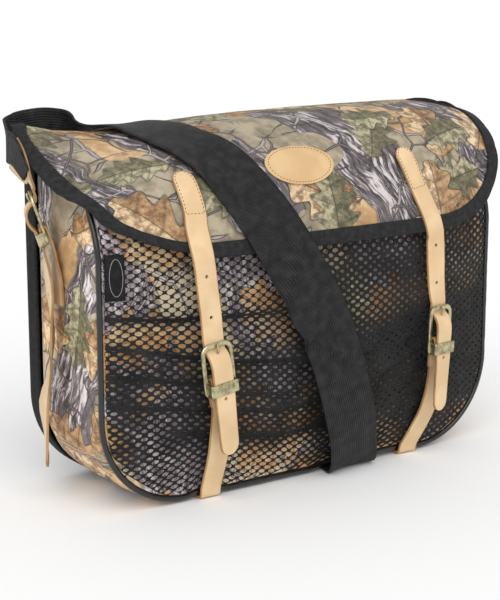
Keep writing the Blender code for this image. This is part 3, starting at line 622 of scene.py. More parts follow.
# columns: cell size, offset, half width, lobes, 1 where green, share of cells left empty,
# dark, middle and pale colour
LEAVES = [
    (78.0, (17.0, 31.0), 27.0, 3, 0, 0.54, (124, 90, 58), (186, 148, 104), (228, 200, 160)),
    (72.0, (140.0, 77.0), 24.0, 4, 1, 0.0, (76, 74, 54), (126, 120, 90), (184, 176, 142)),
    (62.0, (233.0, 211.0), 20.0, 4, 1, 0.1, (84, 82, 58), (134, 128, 98), (192, 184, 150)),
    (88.0, (61.0, 155.0), 31.0, 4, 0, 0.6, (134, 98, 66), (196, 160, 116), (238, 214, 178)),
]


def leaf_layer(stuff, x, y, size, move, width, lobes, keep):
    """One layer of lobed leaves, one to a cell: mask, veins, shadow round it, light side."""
    length = size - 2.0
    x = x + move[0]
    y = y + move[1]
    cell = stuff.cells(x, y, size, 0.5)
    centre = stuff.parts(cell["Position"])
    chance = stuff.parts(cell["Color"])
    dx = x - centre[0] * size
    dy = y - centre[1] * size
    angle = chance[0] * (2 * math.pi)
    c = angle.cos()
    s = angle.sin()
    along = (dx * c + dy * s) / length + 0.5
    across = dy * c - dx * s
    across = across + (along - 0.5).power(2.0) * (chance[1] - 0.5) * (width * 1.6)
    off = across.abs()
    wave = along * float(lobes) - off * (0.55 / width)
    inside = along.most(0.0).least(1.0)
    swell = (inside * math.pi).sin().most(0.0).power(0.62) * width
    half = swell * ((wave * (2 * math.pi)).cos() * 0.25 + 0.75)
    ragged = stuff.noise(x, y, 0.0, 3.0, 2.0) * 3.0 - 1.5
    edge = off + ragged - half
    there = chance[2].step(keep - 0.001, keep + 0.001)
    mask = edge.step(0.35, -0.35) * there
    shadow = edge.step(3.4, 0.0) * there
    side_vein = ((wave + 0.5).frac() - 0.5).abs().step(0.1, 0.02)
    rib = off.step(0.9, 0.3)
    veins = (side_vein * 0.55).most(rib)
    light = across.step(-4.0, 4.0)
    return mask, veins, shadow, light


def printed_ground(stuff, flat, bent, tint):
    """Khaki and tan patches with dim blotches."""
    blotch = stuff.noise(*flat, 1.0, 26.0, 4.0, 0.6)
    khaki = stuff.mix(blotch.step(0.38, 0.62), tint(146, 134, 112), tint(184, 170, 144))
    tan = stuff.mix(blotch.step(0.38, 0.62), tint(184, 146, 100), tint(224, 190, 144))
    panel = stuff.parts(stuff.cells(*bent, 52.0)["Color"])[0]
    colour = stuff.mix(panel.step(0.54, 0.56), khaki, tan)
    dim = stuff.noise(*flat, 5.0, 14.0, 4.0, 0.6).step(0.5, 0.72)
    return stuff.mix(dim * 0.6, colour, tint(104, 92, 80))


def printed_bark(stuff, flat, bent, tint, shift, colour):
    """Slanting strips of grey bark with a dark edge, moved by shift."""
    wx, wy = bent
    trunk_x = wx * 0.9 + wy * 0.42
    trunk_y = wy * 0.9 - wx * 0.42
    place = ((trunk_x / BARK_PITCH + shift).frac() - 0.5).abs() * BARK_PITCH
    rough_edge = stuff.noise(trunk_x, trunk_y / 3.0, 0.0, 10.0, 3.0) * 16.0
    broken = stuff.noise(*flat, 33.0, 70.0, 1.0).step(0.38, 0.42) * -40.0 + 40.0
    edge = place + rough_edge + broken
    grain = stuff.noise(trunk_x, trunk_y / 7.0, 2.0, 3.0, 6.0, 0.72)
    broad = stuff.noise(trunk_x, trunk_y / 3.0, 7.0, 13.0, 3.0)
    bark = stuff.mix(grain.step(0.36, 0.54), tint(48, 43, 46), tint(112, 103, 105))
    bark = stuff.mix((grain + broad * 0.6).step(0.80, 0.92), bark, tint(216, 208, 206))
    colour = stuff.mix(edge.step(47.0, 42.0) * 0.7, colour, tint(58, 50, 50))
    return stuff.mix(edge.step(42.4, 41.4), colour, bark)


def printed_twigs(stuff, flat, bent, tint, colour):
    """Thin branching twigs along the edges of cells."""
    for size, seed, stout, gloom, glow in TWIGS:
        edge = stuff.cells(*bent, size, feature="DISTANCE_TO_EDGE")["Distance"] * size
        thick = ((stuff.noise(*flat, seed, 40.0, 2.0) - 0.44) * 12.0).least(stout)
        inside = thick - edge
        colour = stuff.mix(inside.step(-0.5, 0.1), colour, tint(*gloom))
        colour = stuff.mix(inside.step(0.35, 0.9) * 0.85, colour, tint(*glow))
    return colour


def printed_leaves(stuff, flat, tint, bare, colour):
    """Layers of lobed leaves with veins; bare is the share of places without a green one."""
    for size, move, width, lobes, green, keep, dark, middle, pale in LEAVES:
        keep += bare * green
        mask, veins, shadow, light = leaf_layer(stuff, *flat, size, move, width, lobes, keep)
        mottle = stuff.noise(*flat, move[0], 7.0, 5.0, 0.7)
        leaf = stuff.mix(mottle.step(0.36, 0.62), tint(*dark), tint(*middle))
        leaf = stuff.mix(light * 0.5 * mottle, leaf, tint(*pale))
        leaf = stuff.mix((mottle + light * 0.16).step(0.6, 0.74), leaf, tint(*pale))
        leaf = stuff.mix(veins * 0.7, leaf, tint(*(v * 0.5 for v in dark)))
        colour = stuff.mix(shadow * 0.75, colour, tint(42, 36, 34))
        colour = stuff.mix(mask, colour, leaf)
    return colour


def camouflage(name, painted_brightness, shift, bare):
    """Generic woodland print: bark, twigs and lobed leaves on a khaki ground, on fine twill."""
    stuff = Stuff(name, "camouflage")
    x, y = flat = stuff.flat()
    bent = (x + stuff.noise(x, y, 3.0, 45.0, 2.0) * 26.0, y + stuff.noise(x, y, 9.0, 45.0, 2.0) * 26.0)

    # The brightness scale lightens or darkens the whole print for each piece. This is painted light and
    # shade for the light that falls on that piece.
    def tint(r, g, b):
        scale = min(painted_brightness, 255 / max(r, g, b))
        return srgb(r * scale, g * scale, b * scale)

    colour = printed_ground(stuff, flat, bent, tint)
    colour = printed_bark(stuff, flat, bent, tint, shift, colour)
    colour = printed_twigs(stuff, flat, bent, tint, colour)
    colour = printed_leaves(stuff, flat, tint, bare, colour)
    speck = stuff.noise(x, y, 21.0, 1.6, 2.0, 0.6)
    colour = stuff.mix(speck.step(0.55, 0.8) * 0.22, colour, tint(225, 210, 190))
    stuff.set(base_color=colour, roughness=0.62)
    twill = ((x + y) * (2 * math.pi / 0.9)).sin() * 0.25 + ((x - y) * (2 * math.pi / 1.6)).sin() * 0.15
    stuff.bump(twill + stuff.noise(x, y, 4.0, 6.0, 3.0), 0.35, 0.5)
    return stuff


def black_cloth(name, tone, rib):
    """Black woven cloth or tape, with ribs of the given pitch."""
    stuff = Stuff(name, "black_cloth")
    x, y = stuff.flat()
    patchy = stuff.noise(x, y, 0.0, 5.0, 4.0, 0.6)
    colour = stuff.mix(patchy.step(0.35, 0.7), srgb(tone - 9, tone - 9, tone - 8),
                       srgb(tone + 8, tone + 7, tone + 9))
    stuff.set(base_color=colour, roughness=0.7, specular_ior_level=BLACK_SHINE)
    weave = (x * (2 * math.pi / rib)).sin() * 0.3 + (y * (2 * math.pi / (rib * 1.4))).sin() * 0.2
    stuff.bump(weave + patchy * 0.6, 0.3, 0.6)
    return stuff


def net_thread():
    """Black knitted thread with a slight shine and a fuzzy surface."""
    stuff = Stuff("net_thread", "net")
    x, y, z = stuff.place()
    fuzz = stuff.noise(x, y, z, 1.1, 3.0, 0.7)
    patchy = stuff.noise(x, y, z, 22.0, 2.0)
    tone = stuff.mix((fuzz * 0.6 + patchy * 0.5).step(0.4, 0.72), srgb(18, 18, 19), srgb(42, 41, 43))
    stuff.set(base_color=tone, roughness=0.6, specular_ior_level=BLACK_SHINE)
    stuff.bump(fuzz, 0.5, 0.8)
    return stuff


def webbing_weave():
    """Black ribbed webbing: ribs along it, crossed by finer picks."""
    stuff = Stuff("webbing_weave", "webbing")
    x, y = stuff.flat()
    ribs = (x * (2 * math.pi / 2.1)).sin()
    picks = (y * (2 * math.pi / 1.35)).sin()
    weave = ribs * 0.35 + picks * 0.22 + ribs * picks * 0.25
    patchy = stuff.noise(x, y, 0.0, 9.0, 3.0)
    tone = stuff.mix((weave * 0.5 + patchy).step(0.2, 0.95), srgb(16, 16, 17), srgb(58, 56, 58))
    stuff.set(base_color=tone, roughness=0.5, specular_ior_level=BLACK_SHINE)
    stuff.bump(weave, 0.45, 0.9)
    return stuff


def glossy_piping():
    """Glossy black covered cord."""
    stuff = Stuff("glossy_piping", "piping")
    x, y, z = stuff.place()
    dimple = stuff.noise(x, y, z, 4.0, 2.0)
    tone = stuff.mix(dimple, srgb(14, 14, 15), srgb(26, 26, 27))
    stuff.set(base_color=tone, roughness=0.26, coat_weight=0.3)
    stuff.bump(dimple, 0.4, 0.5)
    return stuff


def tan_leather(name, low, high, grain, roughness):
    """Vegetable-tanned leather with fine pores and soft clouding."""
    stuff = Stuff(name, "leather")
    x, y, z = stuff.place()
    cloud = stuff.noise(x, y, z, 26.0, 3.0)
    pores = stuff.noise(x, y, z, 1.0, 3.0, 0.65)
    tone = stuff.mix(cloud.step(0.35, 0.68), srgb(*low), srgb(*high))
    tone = stuff.mix(pores.step(0.62, 0.8) * 0.3, tone, srgb(*(v * 0.8 for v in low)))
    stuff.set(base_color=tone, roughness=roughness)
    stuff.bump(pores + cloud * 0.6, grain, 0.5)
    return stuff


def antique_brass():
    """Brushed antique brass with darker patches."""
    stuff = Stuff("antique_brass", "brass")
    x, y, z = stuff.place()
    streak = stuff.noise(x, y, z / 7.0, 1.3, 3.0, 0.6)
    stain = stuff.noise(x, y, z, 6.0, 3.0, 0.6)
    tone = stuff.mix(stain.step(0.4, 0.66), srgb(196, 188, 152), srgb(142, 132, 98))
    tone = stuff.mix(streak.step(0.5, 0.75) * 0.5, tone, srgb(226, 220, 192))
    stuff.set(base_color=tone, metallic=1.0, roughness=0.34)
    stuff.bump(streak + stain, 0.12, 0.5)
    return stuff


def thread(name, colour):
    """Sewing thread."""
    stuff = Stuff(name, "leather")
    x, y, z = stuff.place()
    twist = stuff.noise(x, y, z, 0.6, 2.0)
    dark = tuple(v * 0.75 for v in colour)
    stuff.set(base_color=stuff.mix(twist, srgb(*dark), srgb(*colour)), roughness=0.6)
    stuff.bump(twist, 0.1, 0.5)
    return stuff


# Meshes

def to_frame(point):
    """From millimetres on the bag's own frame to metres in the library's frame."""
    return (Vector(point) - MIDDLE) * MM


def finish_piece(name, work, stuffs, node=None, smooth_angle=50.0):
    """Make an object of a bmesh that rides on the bag, with its materials and the solid it stands for."""
    mesh = bpy.data.meshes.new(name)
    work.to_mesh(mesh)
    work.free()
    for stuff in stuffs:
        mesh.materials.append(stuff.material)
    mesh.shade_smooth()
    mesh.set_sharp_from_angle(angle=math.radians(smooth_angle))
    made = bpy.data.objects.new(name, mesh)
    bpy.context.scene.collection.objects.link(made)
    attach(made, "root")
    if node:
        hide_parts(node)
    return made


def new_work():
    """An empty bmesh, and its layer of flat coordinates."""
    work = bmesh.new()
    return work, work.loops.layers.uv.new("flat")


def quad(work, layer, corners, flats, index=0):
    """One face with its flat coordinates."""
    face = work.faces.new(corners)
    face.material_index = index
    for loop, flat in zip(face.loops, flats):
        loop[layer].uv = (flat[0] * MM, flat[1] * MM)


def lattice(work, layer, rows, flats):
    """Faces between rows of points; gives their vertices."""
    verts = [[work.verts.new(to_frame(point)) for point in row] for row in rows]
    for j in range(len(rows) - 1):
        for i in range(len(rows[j]) - 1):
            around = ((j, i), (j + 1, i), (j + 1, i + 1), (j, i + 1))
            quad(work, layer, [verts[a][b] for a, b in around], [flats[a][b] for a, b in around])
    return verts


def cap(work, rings):
    """Close both ends of a row of rings."""
    work.faces.new(list(reversed(rings[0])))
    work.faces.new(rings[-1])


def skin(work, rings, closed=False):
    """Faces between the rings of a tube, with its ends closed unless it runs into itself."""
    pairs = list(zip(rings, rings[1:]))
    if closed:
        pairs.append((rings[-1], rings[0]))
    for a, b in pairs:
        for i in range(len(a)):
            n = (i + 1) % len(a)
            work.faces.new((a[i], a[n], b[n], b[i]))
    if not closed:
        cap(work, rings)


def grid(name, rows, flats, thickness, stuffs, node, offset=-1.0):
    """A sheet from rows of points, thickened; flats are its flat coordinates in millimetres."""
    work, layer = new_work()
    lattice(work, layer, rows, flats)
    made = finish_piece(name, work, stuffs, node)
    thicken(made, thickness, offset)
    return made


def thicken(made, thickness, offset):
    solid = made.modifiers.new("thickness", "SOLIDIFY")
    solid.thickness = thickness * MM
    solid.offset = offset
    solid.use_even_offset = False


def sweep(name, stations, section, stuffs, node, raw=()):
    """A solid swept through stations (centre, across, out), from section points (across, out).
    Section points listed in raw start a face of the second material."""
    work, layer = new_work()
    rings = []
    for centre, across, out, width in stations:
        rings.append([work.verts.new(to_frame(centre + across * (a * width) + out * b)) for a, b in section])
    along = lengths_along([station[0] for station in stations])
    girth = [a * stations[0][3] for a, b in section]
    count = len(section)
    for j in range(len(rings) - 1):
        for i in range(count):
            n = (i + 1) % count
            around = ((j, i), (j, n), (j + 1, n), (j + 1, i))
            quad(work, layer, [rings[a][b] for a, b in around], [(girth[b], along[a]) for a, b in around],
                 int(i in raw))
    cap(work, rings)
    bmesh.ops.recalc_face_normals(work, faces=work.faces)
    return finish_piece(name, work, stuffs, node)


# Section of a strap, from its upper left edge round: across from -0.5 to 0.5, out in millimetres
STRAP_HALF = LEATHER / 2
STRAP_RIGHT = [
    (0.485, STRAP_HALF * 0.72), (0.5, STRAP_HALF * 0.25), (0.5, -STRAP_HALF * 0.4), (0.48, -STRAP_HALF),
]
STRAP_SECTION = [(across, STRAP_HALF) for across in (-0.45, -0.25, 0.0, 0.25, 0.45)]
STRAP_SECTION += STRAP_RIGHT + [(0.0, -STRAP_HALF)] + [(-a, b) for a, b in reversed(STRAP_RIGHT)]
# The faces of the section that show its cut edge and its rough side
STRAP_RAW = range(4, 14)


def with_normals(stations, per_span):
    """Finer stations (centre, across, out, width) from (centre, across, width)."""
    centres = smooth_route([s[0] for s in stations], per_span)
    sides = smooth_route([s[1] for s in stations], per_span)
    widths = smooth_route([Vector((s[2], 0, 0)) for s in stations], per_span)
    made = []
    for i, (centre, side, width) in enumerate(zip(centres, sides, widths)):
        ahead = heading(centres, i)
        side = square_to(side, ahead)
        out = ahead.cross(side).normalized()
        made.append((centre, side, out, width.x))
    return made


def cut_holes(target, places):
    """Punch round holes through leather at (point, direction)."""
    work = bmesh.new()
    for point, direction in places:
        turn = direction.to_track_quat("Z", "Y").to_matrix().to_4x4()
        bmesh.ops.create_cone(work, cap_ends=True, segments=20, radius1=PUNCH_RADIUS * MM,
                              radius2=PUNCH_RADIUS * MM, depth=3.5 * LEATHER * MM,
                              matrix=Matrix.Translation(to_frame(point)) @ turn)
    mesh = bpy.data.meshes.new("punch")
    work.to_mesh(mesh)
    work.free()
    punch = bpy.data.objects.new("punch", mesh)
    bpy.context.scene.collection.objects.link(punch)
    made = target.modifiers.new("holes", "BOOLEAN")
    made.operation = "DIFFERENCE"
    made.solver = "EXACT"
    made.object = punch
    apply_modifiers(target)
    bpy.data.objects.remove(punch)


def apply_modifiers(target):
    """Bake the modifiers into the mesh."""
    seen = target.evaluated_get(bpy.context.evaluated_depsgraph_get())
    mesh = bpy.data.meshes.new_from_object(seen)
    target.modifiers.clear()
    target.data = mesh


def stitches(name, places, stuff, length=2.1, girth=0.42):
    """Sewn stitches at (point, direction, out), as one mesh of small rounded bars."""
    work = bmesh.new()
    for point, direction, out in places:
        along = direction.normalized()
        side = out.cross(along).normalized()
        up = along.cross(side)
        turn = Matrix((along * length / 2, side * girth, up * girth)).transposed().to_4x4()
        shape = Matrix.Translation(Vector(point)) @ turn
        bmesh.ops.create_icosphere(work, subdivisions=1, radius=1.0, matrix=shape)
    for vert in work.verts:
        vert.co = to_frame(vert.co)
    finish_piece(name, work, [stuff], smooth_angle=180.0)


# Cloth pieces

def front_panel(stuff):
    """Camouflage front behind the net."""
    half, bottom, radius = inside_piping()
    rows = []
    flats = []
    heights = steps(PANEL_TOP, bottom + 14, 70)
    heights += [bottom + 14 - 14 * (1 - (1 - t) ** 2) for t in steps(0, 1, 12)[1:]]
    for z in heights:
        edge = half_width_at(z, half, bottom, radius)
        row = []
        for part in steps(-1, 1, 90):
            x = part * edge
            crease = 1.1 * abs(wavy(x, z, 30.0, 2.0)) * (1 - abs(part) ** 4)
            row.append(Vector((x, panel_depth(x, z) + crease, z + bottom_lift(x, z))))
        rows.append(row)
        flats.append([(point.x, z) for point in row])
    return grid("bag_front", rows, flats, CLOTH, [stuff], "front_panel")


def gusset(stuff):
    """Camouflage strip round the two sides and the bottom, with soft upright creases."""
    rise = [(0.0, 0.0), (0.03, 0.45), (0.07, 0.75), (0.14, 0.93)]
    crown = rise + [(p, 1.0) for p in steps(0.22, 0.78, 13)] + [(1 - p, s) for p, s in reversed(rise)]
    corner_top = SEAM_RISE + CORNER
    rows = []
    flats = []
    stations = u_stations(HALF_WIDTH, SEAM_RISE, CORNER, PANEL_TOP)
    lengths = lengths_along([Vector((x, z)) for x, z, out_x, out_z in stations])
    for (x, z, out_x, out_z), along in zip(stations, lengths):
        row = []
        flat = []
        for part, swell in crown:
            height = z
            if z > corner_top:
                top = PANEL_TOP + (SIDE_TOP - PANEL_TOP) * part ** 0.7
                height = corner_top + (z - corner_top) / (PANEL_TOP - corner_top) * (top - corner_top)
            front = PIPING_RADIUS + 0.35 + dome_lean(z)
            y = front + (GUSSET_DEPTH - 0.35 - front) * part
            fold = max(0.0, wavy(y * 1.6 + height * 0.25, height * 0.22, 17.0, 5.0 + out_x)) * 3.2
            pull = 1.6 * math.exp(-((y - 28) / 6.0) ** 2) * clamp((height - 60) / 60)
            out = CROWN * swell - (fold + pull) * min(1.0, swell) * abs(out_x) ** 2
            row.append(Vector((x + out_x * out, y, height + out_z * out + bottom_lift(x, z))))
            flat.append((y * 1.05 + (300 if x > 0 else 0), height if abs(out_x) > 0.9 else -along))
        rows.append(row[::-1])
        flats.append(flat[::-1])
    return grid("bag_gusset", rows, flats, CLOTH, [stuff], "gusset")


def back_panel(stuff):
    """Black back with a rounded edge, wrapped forward as a band."""
    half = HALF_WIDTH + CROWN
    radius = CORNER + CROWN
    ease = BACK_EASE
    rows = []
    near_edge = [0.965, 0.98, 0.99, 0.997, 1]
    parts = [-part for part in reversed(near_edge)] + steps(-0.94, 0.94, 50) + near_edge
    heights = steps(BACK_TOP, radius, 40)
    heights += [radius * (1 - math.sin(math.radians(a))) for a in steps(0, 90, 24)[1:]]
    for z in heights:
        edge = half_width_at(z, half, 0.0, radius)
        row = []
        for part in parts:
            x = part * edge
            corner = max(abs(x) - (half - radius), 0.0)
            sunk = max(radius - z, 0.0)
            inside = radius - math.hypot(corner, sunk) if sunk > 0 or corner > 0 else radius
            short = max(ease - inside, 0.0) if z < radius or abs(x) > half - ease else 0.0
            y = BAG_DEPTH - ease + math.sqrt(max(ease ** 2 - short ** 2, 0.0))
            y -= 0.9 * abs(wavy(x, z, 40.0, 8.0)) * (1 if short == 0 else 0)
            row.append(Vector((x, y, z + bottom_lift(x, z))))
        rows.append(row)
    work, layer = new_work()
    verts = lattice(work, layer, rows, [[(point.x, point.z) for point in row] for row in rows])
    rim = [row[0] for row in verts] + verts[-1][1:] + [row[-1] for row in reversed(verts[:-1])]
    before = rim
    for depth in steps(BAG_DEPTH - ease - 4, GUSSET_DEPTH, 4):
        ring = [work.verts.new((v.co.x, (depth - MIDDLE.y) * MM, v.co.z)) for v in rim]
        for i in range(len(rim) - 1):
            corners = (before[i], before[i + 1], ring[i + 1], ring[i])
            flats = [(v.co.y / MM + 400, v.co.z / MM + v.co.x / MM) for v in corners]
            quad(work, layer, corners, flats)
        before = ring
    bmesh.ops.recalc_face_normals(work, faces=work.faces)
    made = finish_piece("bag_back", work, [stuff], "back_panel")
    thicken(made, CLOTH, -1.0)
    return made


def piping(stuff):
    """Round glossy piping in the front seam."""
    stations = []
    line = u_stations(HALF_WIDTH, SEAM_RISE, CORNER, PANEL_TOP, 50, 20, 60)
    centres = [Vector((x, dome_lean(z), z + bottom_lift(x, z))) for x, z, ox, oz in line]
    for i, (centre, (x, z, out_x, out_z)) in enumerate(zip(centres, line)):
        centre = centre + Vector((0, 0.5 * wavy(i * 3.0, 0.0, 9.0, 1.0), 0))
        stations.append((centre, Vector((out_x, 0, out_z)), Vector((0, -1, 0)), 1.0))
    sweep("seam_piping", stations, circle(PIPING_RADIUS, 12), [stuff], "front_piping")


def fold_shapes(u, v):
    """Height lost to the net's folds and how far they tuck it in, at a place on the net."""
    lost = 0.0
    tuck = 0.0
    before = 0.0
    for fold in NET_FOLDS:
        height, overlap = between([(x, z, o) for x, z, o in fold], u)
        if overlap < 0.5:
            continue
        start = NET_TOP - height + before
        width = 7.0 + 1.1 * overlap
        t = (v - start) / width
        lost += overlap * smooth(t)
        tuck += 4.2 * min(1.0, overlap / 8) * (smooth(t) - smooth((t - 1.0) / 2.2))
        before += overlap
    return lost, tuck


def net_floor(x):
    """Lower edge of the net pocket."""
    half, bottom, radius = inside_piping()
    over = abs(x) - (half - radius)
    if over <= 0:
        return bottom
    return bottom + radius - math.sqrt(max(radius ** 2 - over ** 2, 0.0))


def net_openness(u, v, z):
    """Size of the net's holes against a flat net: less on the right, low down and in the folds."""
    gathered = clamp((fold_shapes(u, v + 2)[0] - fold_shapes(u, v - 2)[0]) / 4)
    loose = 1.02 + 0.24 * wavy(u, v, 34.0, 11.0) - 0.3 * smooth((u + 60) / 120)
    loose -= 0.26 * smooth((150 - z) / 30) * smooth((z - 26) / 24)
    return clamp(loose, 0.5, 1.08) * (1 - 0.85 * gathered)


def net_pocket(stuff):
    """Knitted net with a rounded hole in each cell, tucked into folds and crumpled."""
    half = inside_piping()[0]
    work, layer = new_work()
    known = {}

    def on_net(u, v):
        u = u + 1.5 * wavy(u, v, 26.0, 1.0)
        v = v + 1.3 * wavy(u, v, 22.0, 3.0)
        lost, tuck = fold_shapes(u, v)
        x = clamp(u, -half, half)
        z = max(NET_TOP - (v - lost), net_floor(x))
        room = (NET_BULGE - PANEL_BULGE) * bulge(x, z)
        crumple = 1.3 * (1 + wavy(u, v * 1.5, 13.0, 5.0)) * min(1.0, room / 5)
        inward = min(tuck + crumple, max(room - 1.6, 0.0))
        return Vector((x, net_depth(x, z) + inward, z + bottom_lift(x, z)))

    def vertex(key, u, v):
        if key not in known:
            known[key] = work.verts.new(to_frame(on_net(u, v)))
        return known[key]

    columns = int(half / CELL_ACROSS) + 1
    rows = int((NET_TOP + 75) / (CELL_DOWN / 2))
    quarter_u = CELL_ACROSS / 4
    quarter_v = CELL_DOWN / 4
    corners = [(2, 0), (1, 1), (0, 2), (-1, 1), (-2, 0), (-1, -1), (0, -2), (1, -1)]
    for row in range(rows):
        for column in range(-columns, columns + 1):
            i = 4 * column + 2 * (row % 2)
            j = 2 * row
            u = i * quarter_u
            v = j * quarter_v
            z = NET_TOP - (v - fold_shapes(u, v)[0])
            if abs(u) > half - 1 or z < net_floor(clamp(u, -half, half)) + 1.5:
                continue
            loose = net_openness(u, v, z)
            a = HOLE_ACROSS * loose
            b = HOLE_DOWN * loose
            outer = [vertex((i + p, j + q), u + p * quarter_u, v + q * quarter_v) for p, q in corners]
            outer_flat = [(u + p * quarter_u, v + q * quarter_v) for p, q in corners]
            inner_flat = [(u + a * c, v + b * s) for c, s in circle(1.0, 8)]
            inner = [work.verts.new(to_frame(on_net(*flat))) for flat in inner_flat]
            for k in range(8):
                n = (k + 1) % 8
                if len({outer[k], outer[n], inner[n], inner[k]}) == 4:
                    quad(work, layer, (outer[n], outer[k], inner[k], inner[n]),
                         (outer_flat[n], outer_flat[k], inner_flat[k], inner_flat[n]))
    made = finish_piece("net_mesh", work, [stuff], "net_pocket", smooth_angle=180.0)
    thicken(made, NET_THICKNESS, -1.0)
    return made


def flap(stuff):
    """Camouflage flap with slight sags between its seams."""
    rows = []
    flats = []
    line = flap_line(BINDING_WIDTH - 1.0, 4, 46)
    for (y, z, half), down in zip(line, lengths_along([row.xy for row in line])):
        made = []
        for part in steps(-1, 1, 110):
            x = part * half
            point = flap_point(x, y, z)
            sag = 0.9 * abs(wavy(x, down, 55.0, 4.0)) + 0.35 * abs(wavy(x, down, 16.0, 6.0))
            sag *= smooth(down / 40) * (1 - abs(part) ** 6)
            made.append(point + Vector((0, sag * 0.8, -sag * 0.6)))
        rows.append(made)
        flats.append([(point.x, 420 - down) for point in made])
    return grid("bag_flap", rows, flats, CLOTH, [stuff], "flap")


def binding_rails():
    """Outer and inner rail of the binding round the flap's free edge."""
    outer = flap_line(0.0, 4, 46)[12:]
    inner = flap_line(BINDING_WIDTH, 4, 46)[12:]

    def at(row, sign):
        return flap_point(sign * row.z, row.x, row.y)

    rails = [(at(a, -1), at(b, -1)) for a, b in zip(outer, inner)]
    for part in steps(-1, 1, 50)[1:-1]:
        rails.append((at(outer[-1], part), at(inner[-1], part)))
    rails += [(at(a, 1), at(b, 1)) for a, b in zip(reversed(outer), reversed(inner))]
    return rails


def flap_binding(stuff, sewing):
    """Black tape folded over the flap's edge, with a row of stitches."""
    rails = binding_rails()
    edge = [outer for outer, inner in rails]
    stations = []
    seam = []
    outs = []
    for i, (outer, inner) in enumerate(rails):
        across = outer - inner
        out = across.cross(heading(edge, i)).normalized() * -1
        width = across.length + 0.4
        across = across.normalized()
        ripple = 0.35 * wavy(i * 2.0, 0.0, 3.0, 2.0)
        middle = (outer + inner) / 2 - out * (BINDING_THICKNESS / 2 - 0.5 - ripple * 0.5)
        stations.append((middle, across, out, width))
        seam.append(inner + across * 1.6 + out * 0.55)
        outs.append(out)
    t = BINDING_THICKNESS / 2
    section = [(-0.5, t * 0.45), (-0.46, t * 0.85), (-0.3, t), (0.0, t * 1.06), (0.3, t), (0.44, t * 0.8),
               (0.5, t * 0.2), (0.5, -t * 0.3), (0.42, -t * 0.9), (0.0, -t), (-0.46, -t), (-0.5, -t * 0.4)]
    made = sweep("flap_edge_tape", stations, section, [stuff], "flap_binding")
    stitches("flap_edge_stitches", spaced(seam, outs, 3.2), sewing)
    return made


def spaced(points, outs, pitch):
    """Stitch places (point, direction, out) along a line of points."""
    along = lengths_along(points)
    count = max(1, int(along[-1] / pitch))
    table = [(s, *p, *o) for s, p, o in zip(along, points, outs)]
    made = []
    for i in range(count):
        s = (i + 0.5) * along[-1] / count
        here = between(table, s)
        ahead = between(table, min(s + 0.5, along[-1]))
        behind = between(table, max(s - 0.5, 0.0))
        made.append((Vector(here[:3]), Vector(ahead[:3]) - Vector(behind[:3]), Vector(here[3:])))
    return made


def over_strap_tip(point):
    """Extra height of the webbing where it lies on the left front strap's tip."""
    tip_z, tip_x = FRONT_STRAPS["left"]["sewn"][0]
    aside = max(0.0, abs(point.x - tip_x) - 12) / 14
    below = max(0.0, tip_z - 6 - point.z) / 14
    above = max(0.0, point.z - tip_z - 14) / 14
    return (LEATHER + 1.05) * max(0.0, 1 - max(aside, below, above))


def creased(point):
    """Raise the webbing's front along its creases."""
    if point.y > 0:
        return point
    lift = 0.0
    for (ax, az), (bx, bz), height, width in WEBBING_CREASES:
        edge = Vector((bx - ax, bz - az))
        to_point = Vector((point.x - ax, point.z - az))
        along = clamp(to_point.dot(edge) / edge.length_squared)
        away = (to_point - edge * along).length
        lift = max(lift, height * math.exp(-(away / width) ** 2))
    return Vector((point.x, point.y - lift, point.z))


def shoulder_webbing(stuff):
    """Sling webbing: from the left chape over the flap, under the bag and up the back."""
    per_span = 6
    points = smooth_route([Vector(row[:3]) for row in WEBBING_ROUTE], per_span)
    across = smooth_route([Vector(row[3:]) for row in WEBBING_ROUTE], per_span)
    first, last = WEBBING_ROWS_ON_FLAP
    along = lengths_along(points)
    rows = []
    flats = []
    count = len(points)
    narrowed = list(enumerate(WEBBING_END_WIDTHS))
    for i, (middle, side) in enumerate(zip(points, across)):
        side = square_to(side, heading(points, i))
        width = between(narrowed, min(i, count - 1 - i) / per_span)[0]
        parts = steps(-0.5, 0.5, 15)
        row = [middle + side * width * part for part in parts]
        if first * per_span <= i <= last * per_span:
            row = [stand_off_flap(point, WEBBING / 2 + 1.35 + over_strap_tip(point)) for point in row]
        row = [creased(clear_of_net(point, WEBBING / 2 + OFF_NET)) for point in row]
        rows.append([Vector((point.x, point.y, max(point.z, WEBBING / 2))) for point in row])
        flats.append([(width * part, along[i]) for part in parts])
    return grid("sling_webbing", rows, flats, WEBBING, [stuff], "shoulder_webbing", offset=0.0)


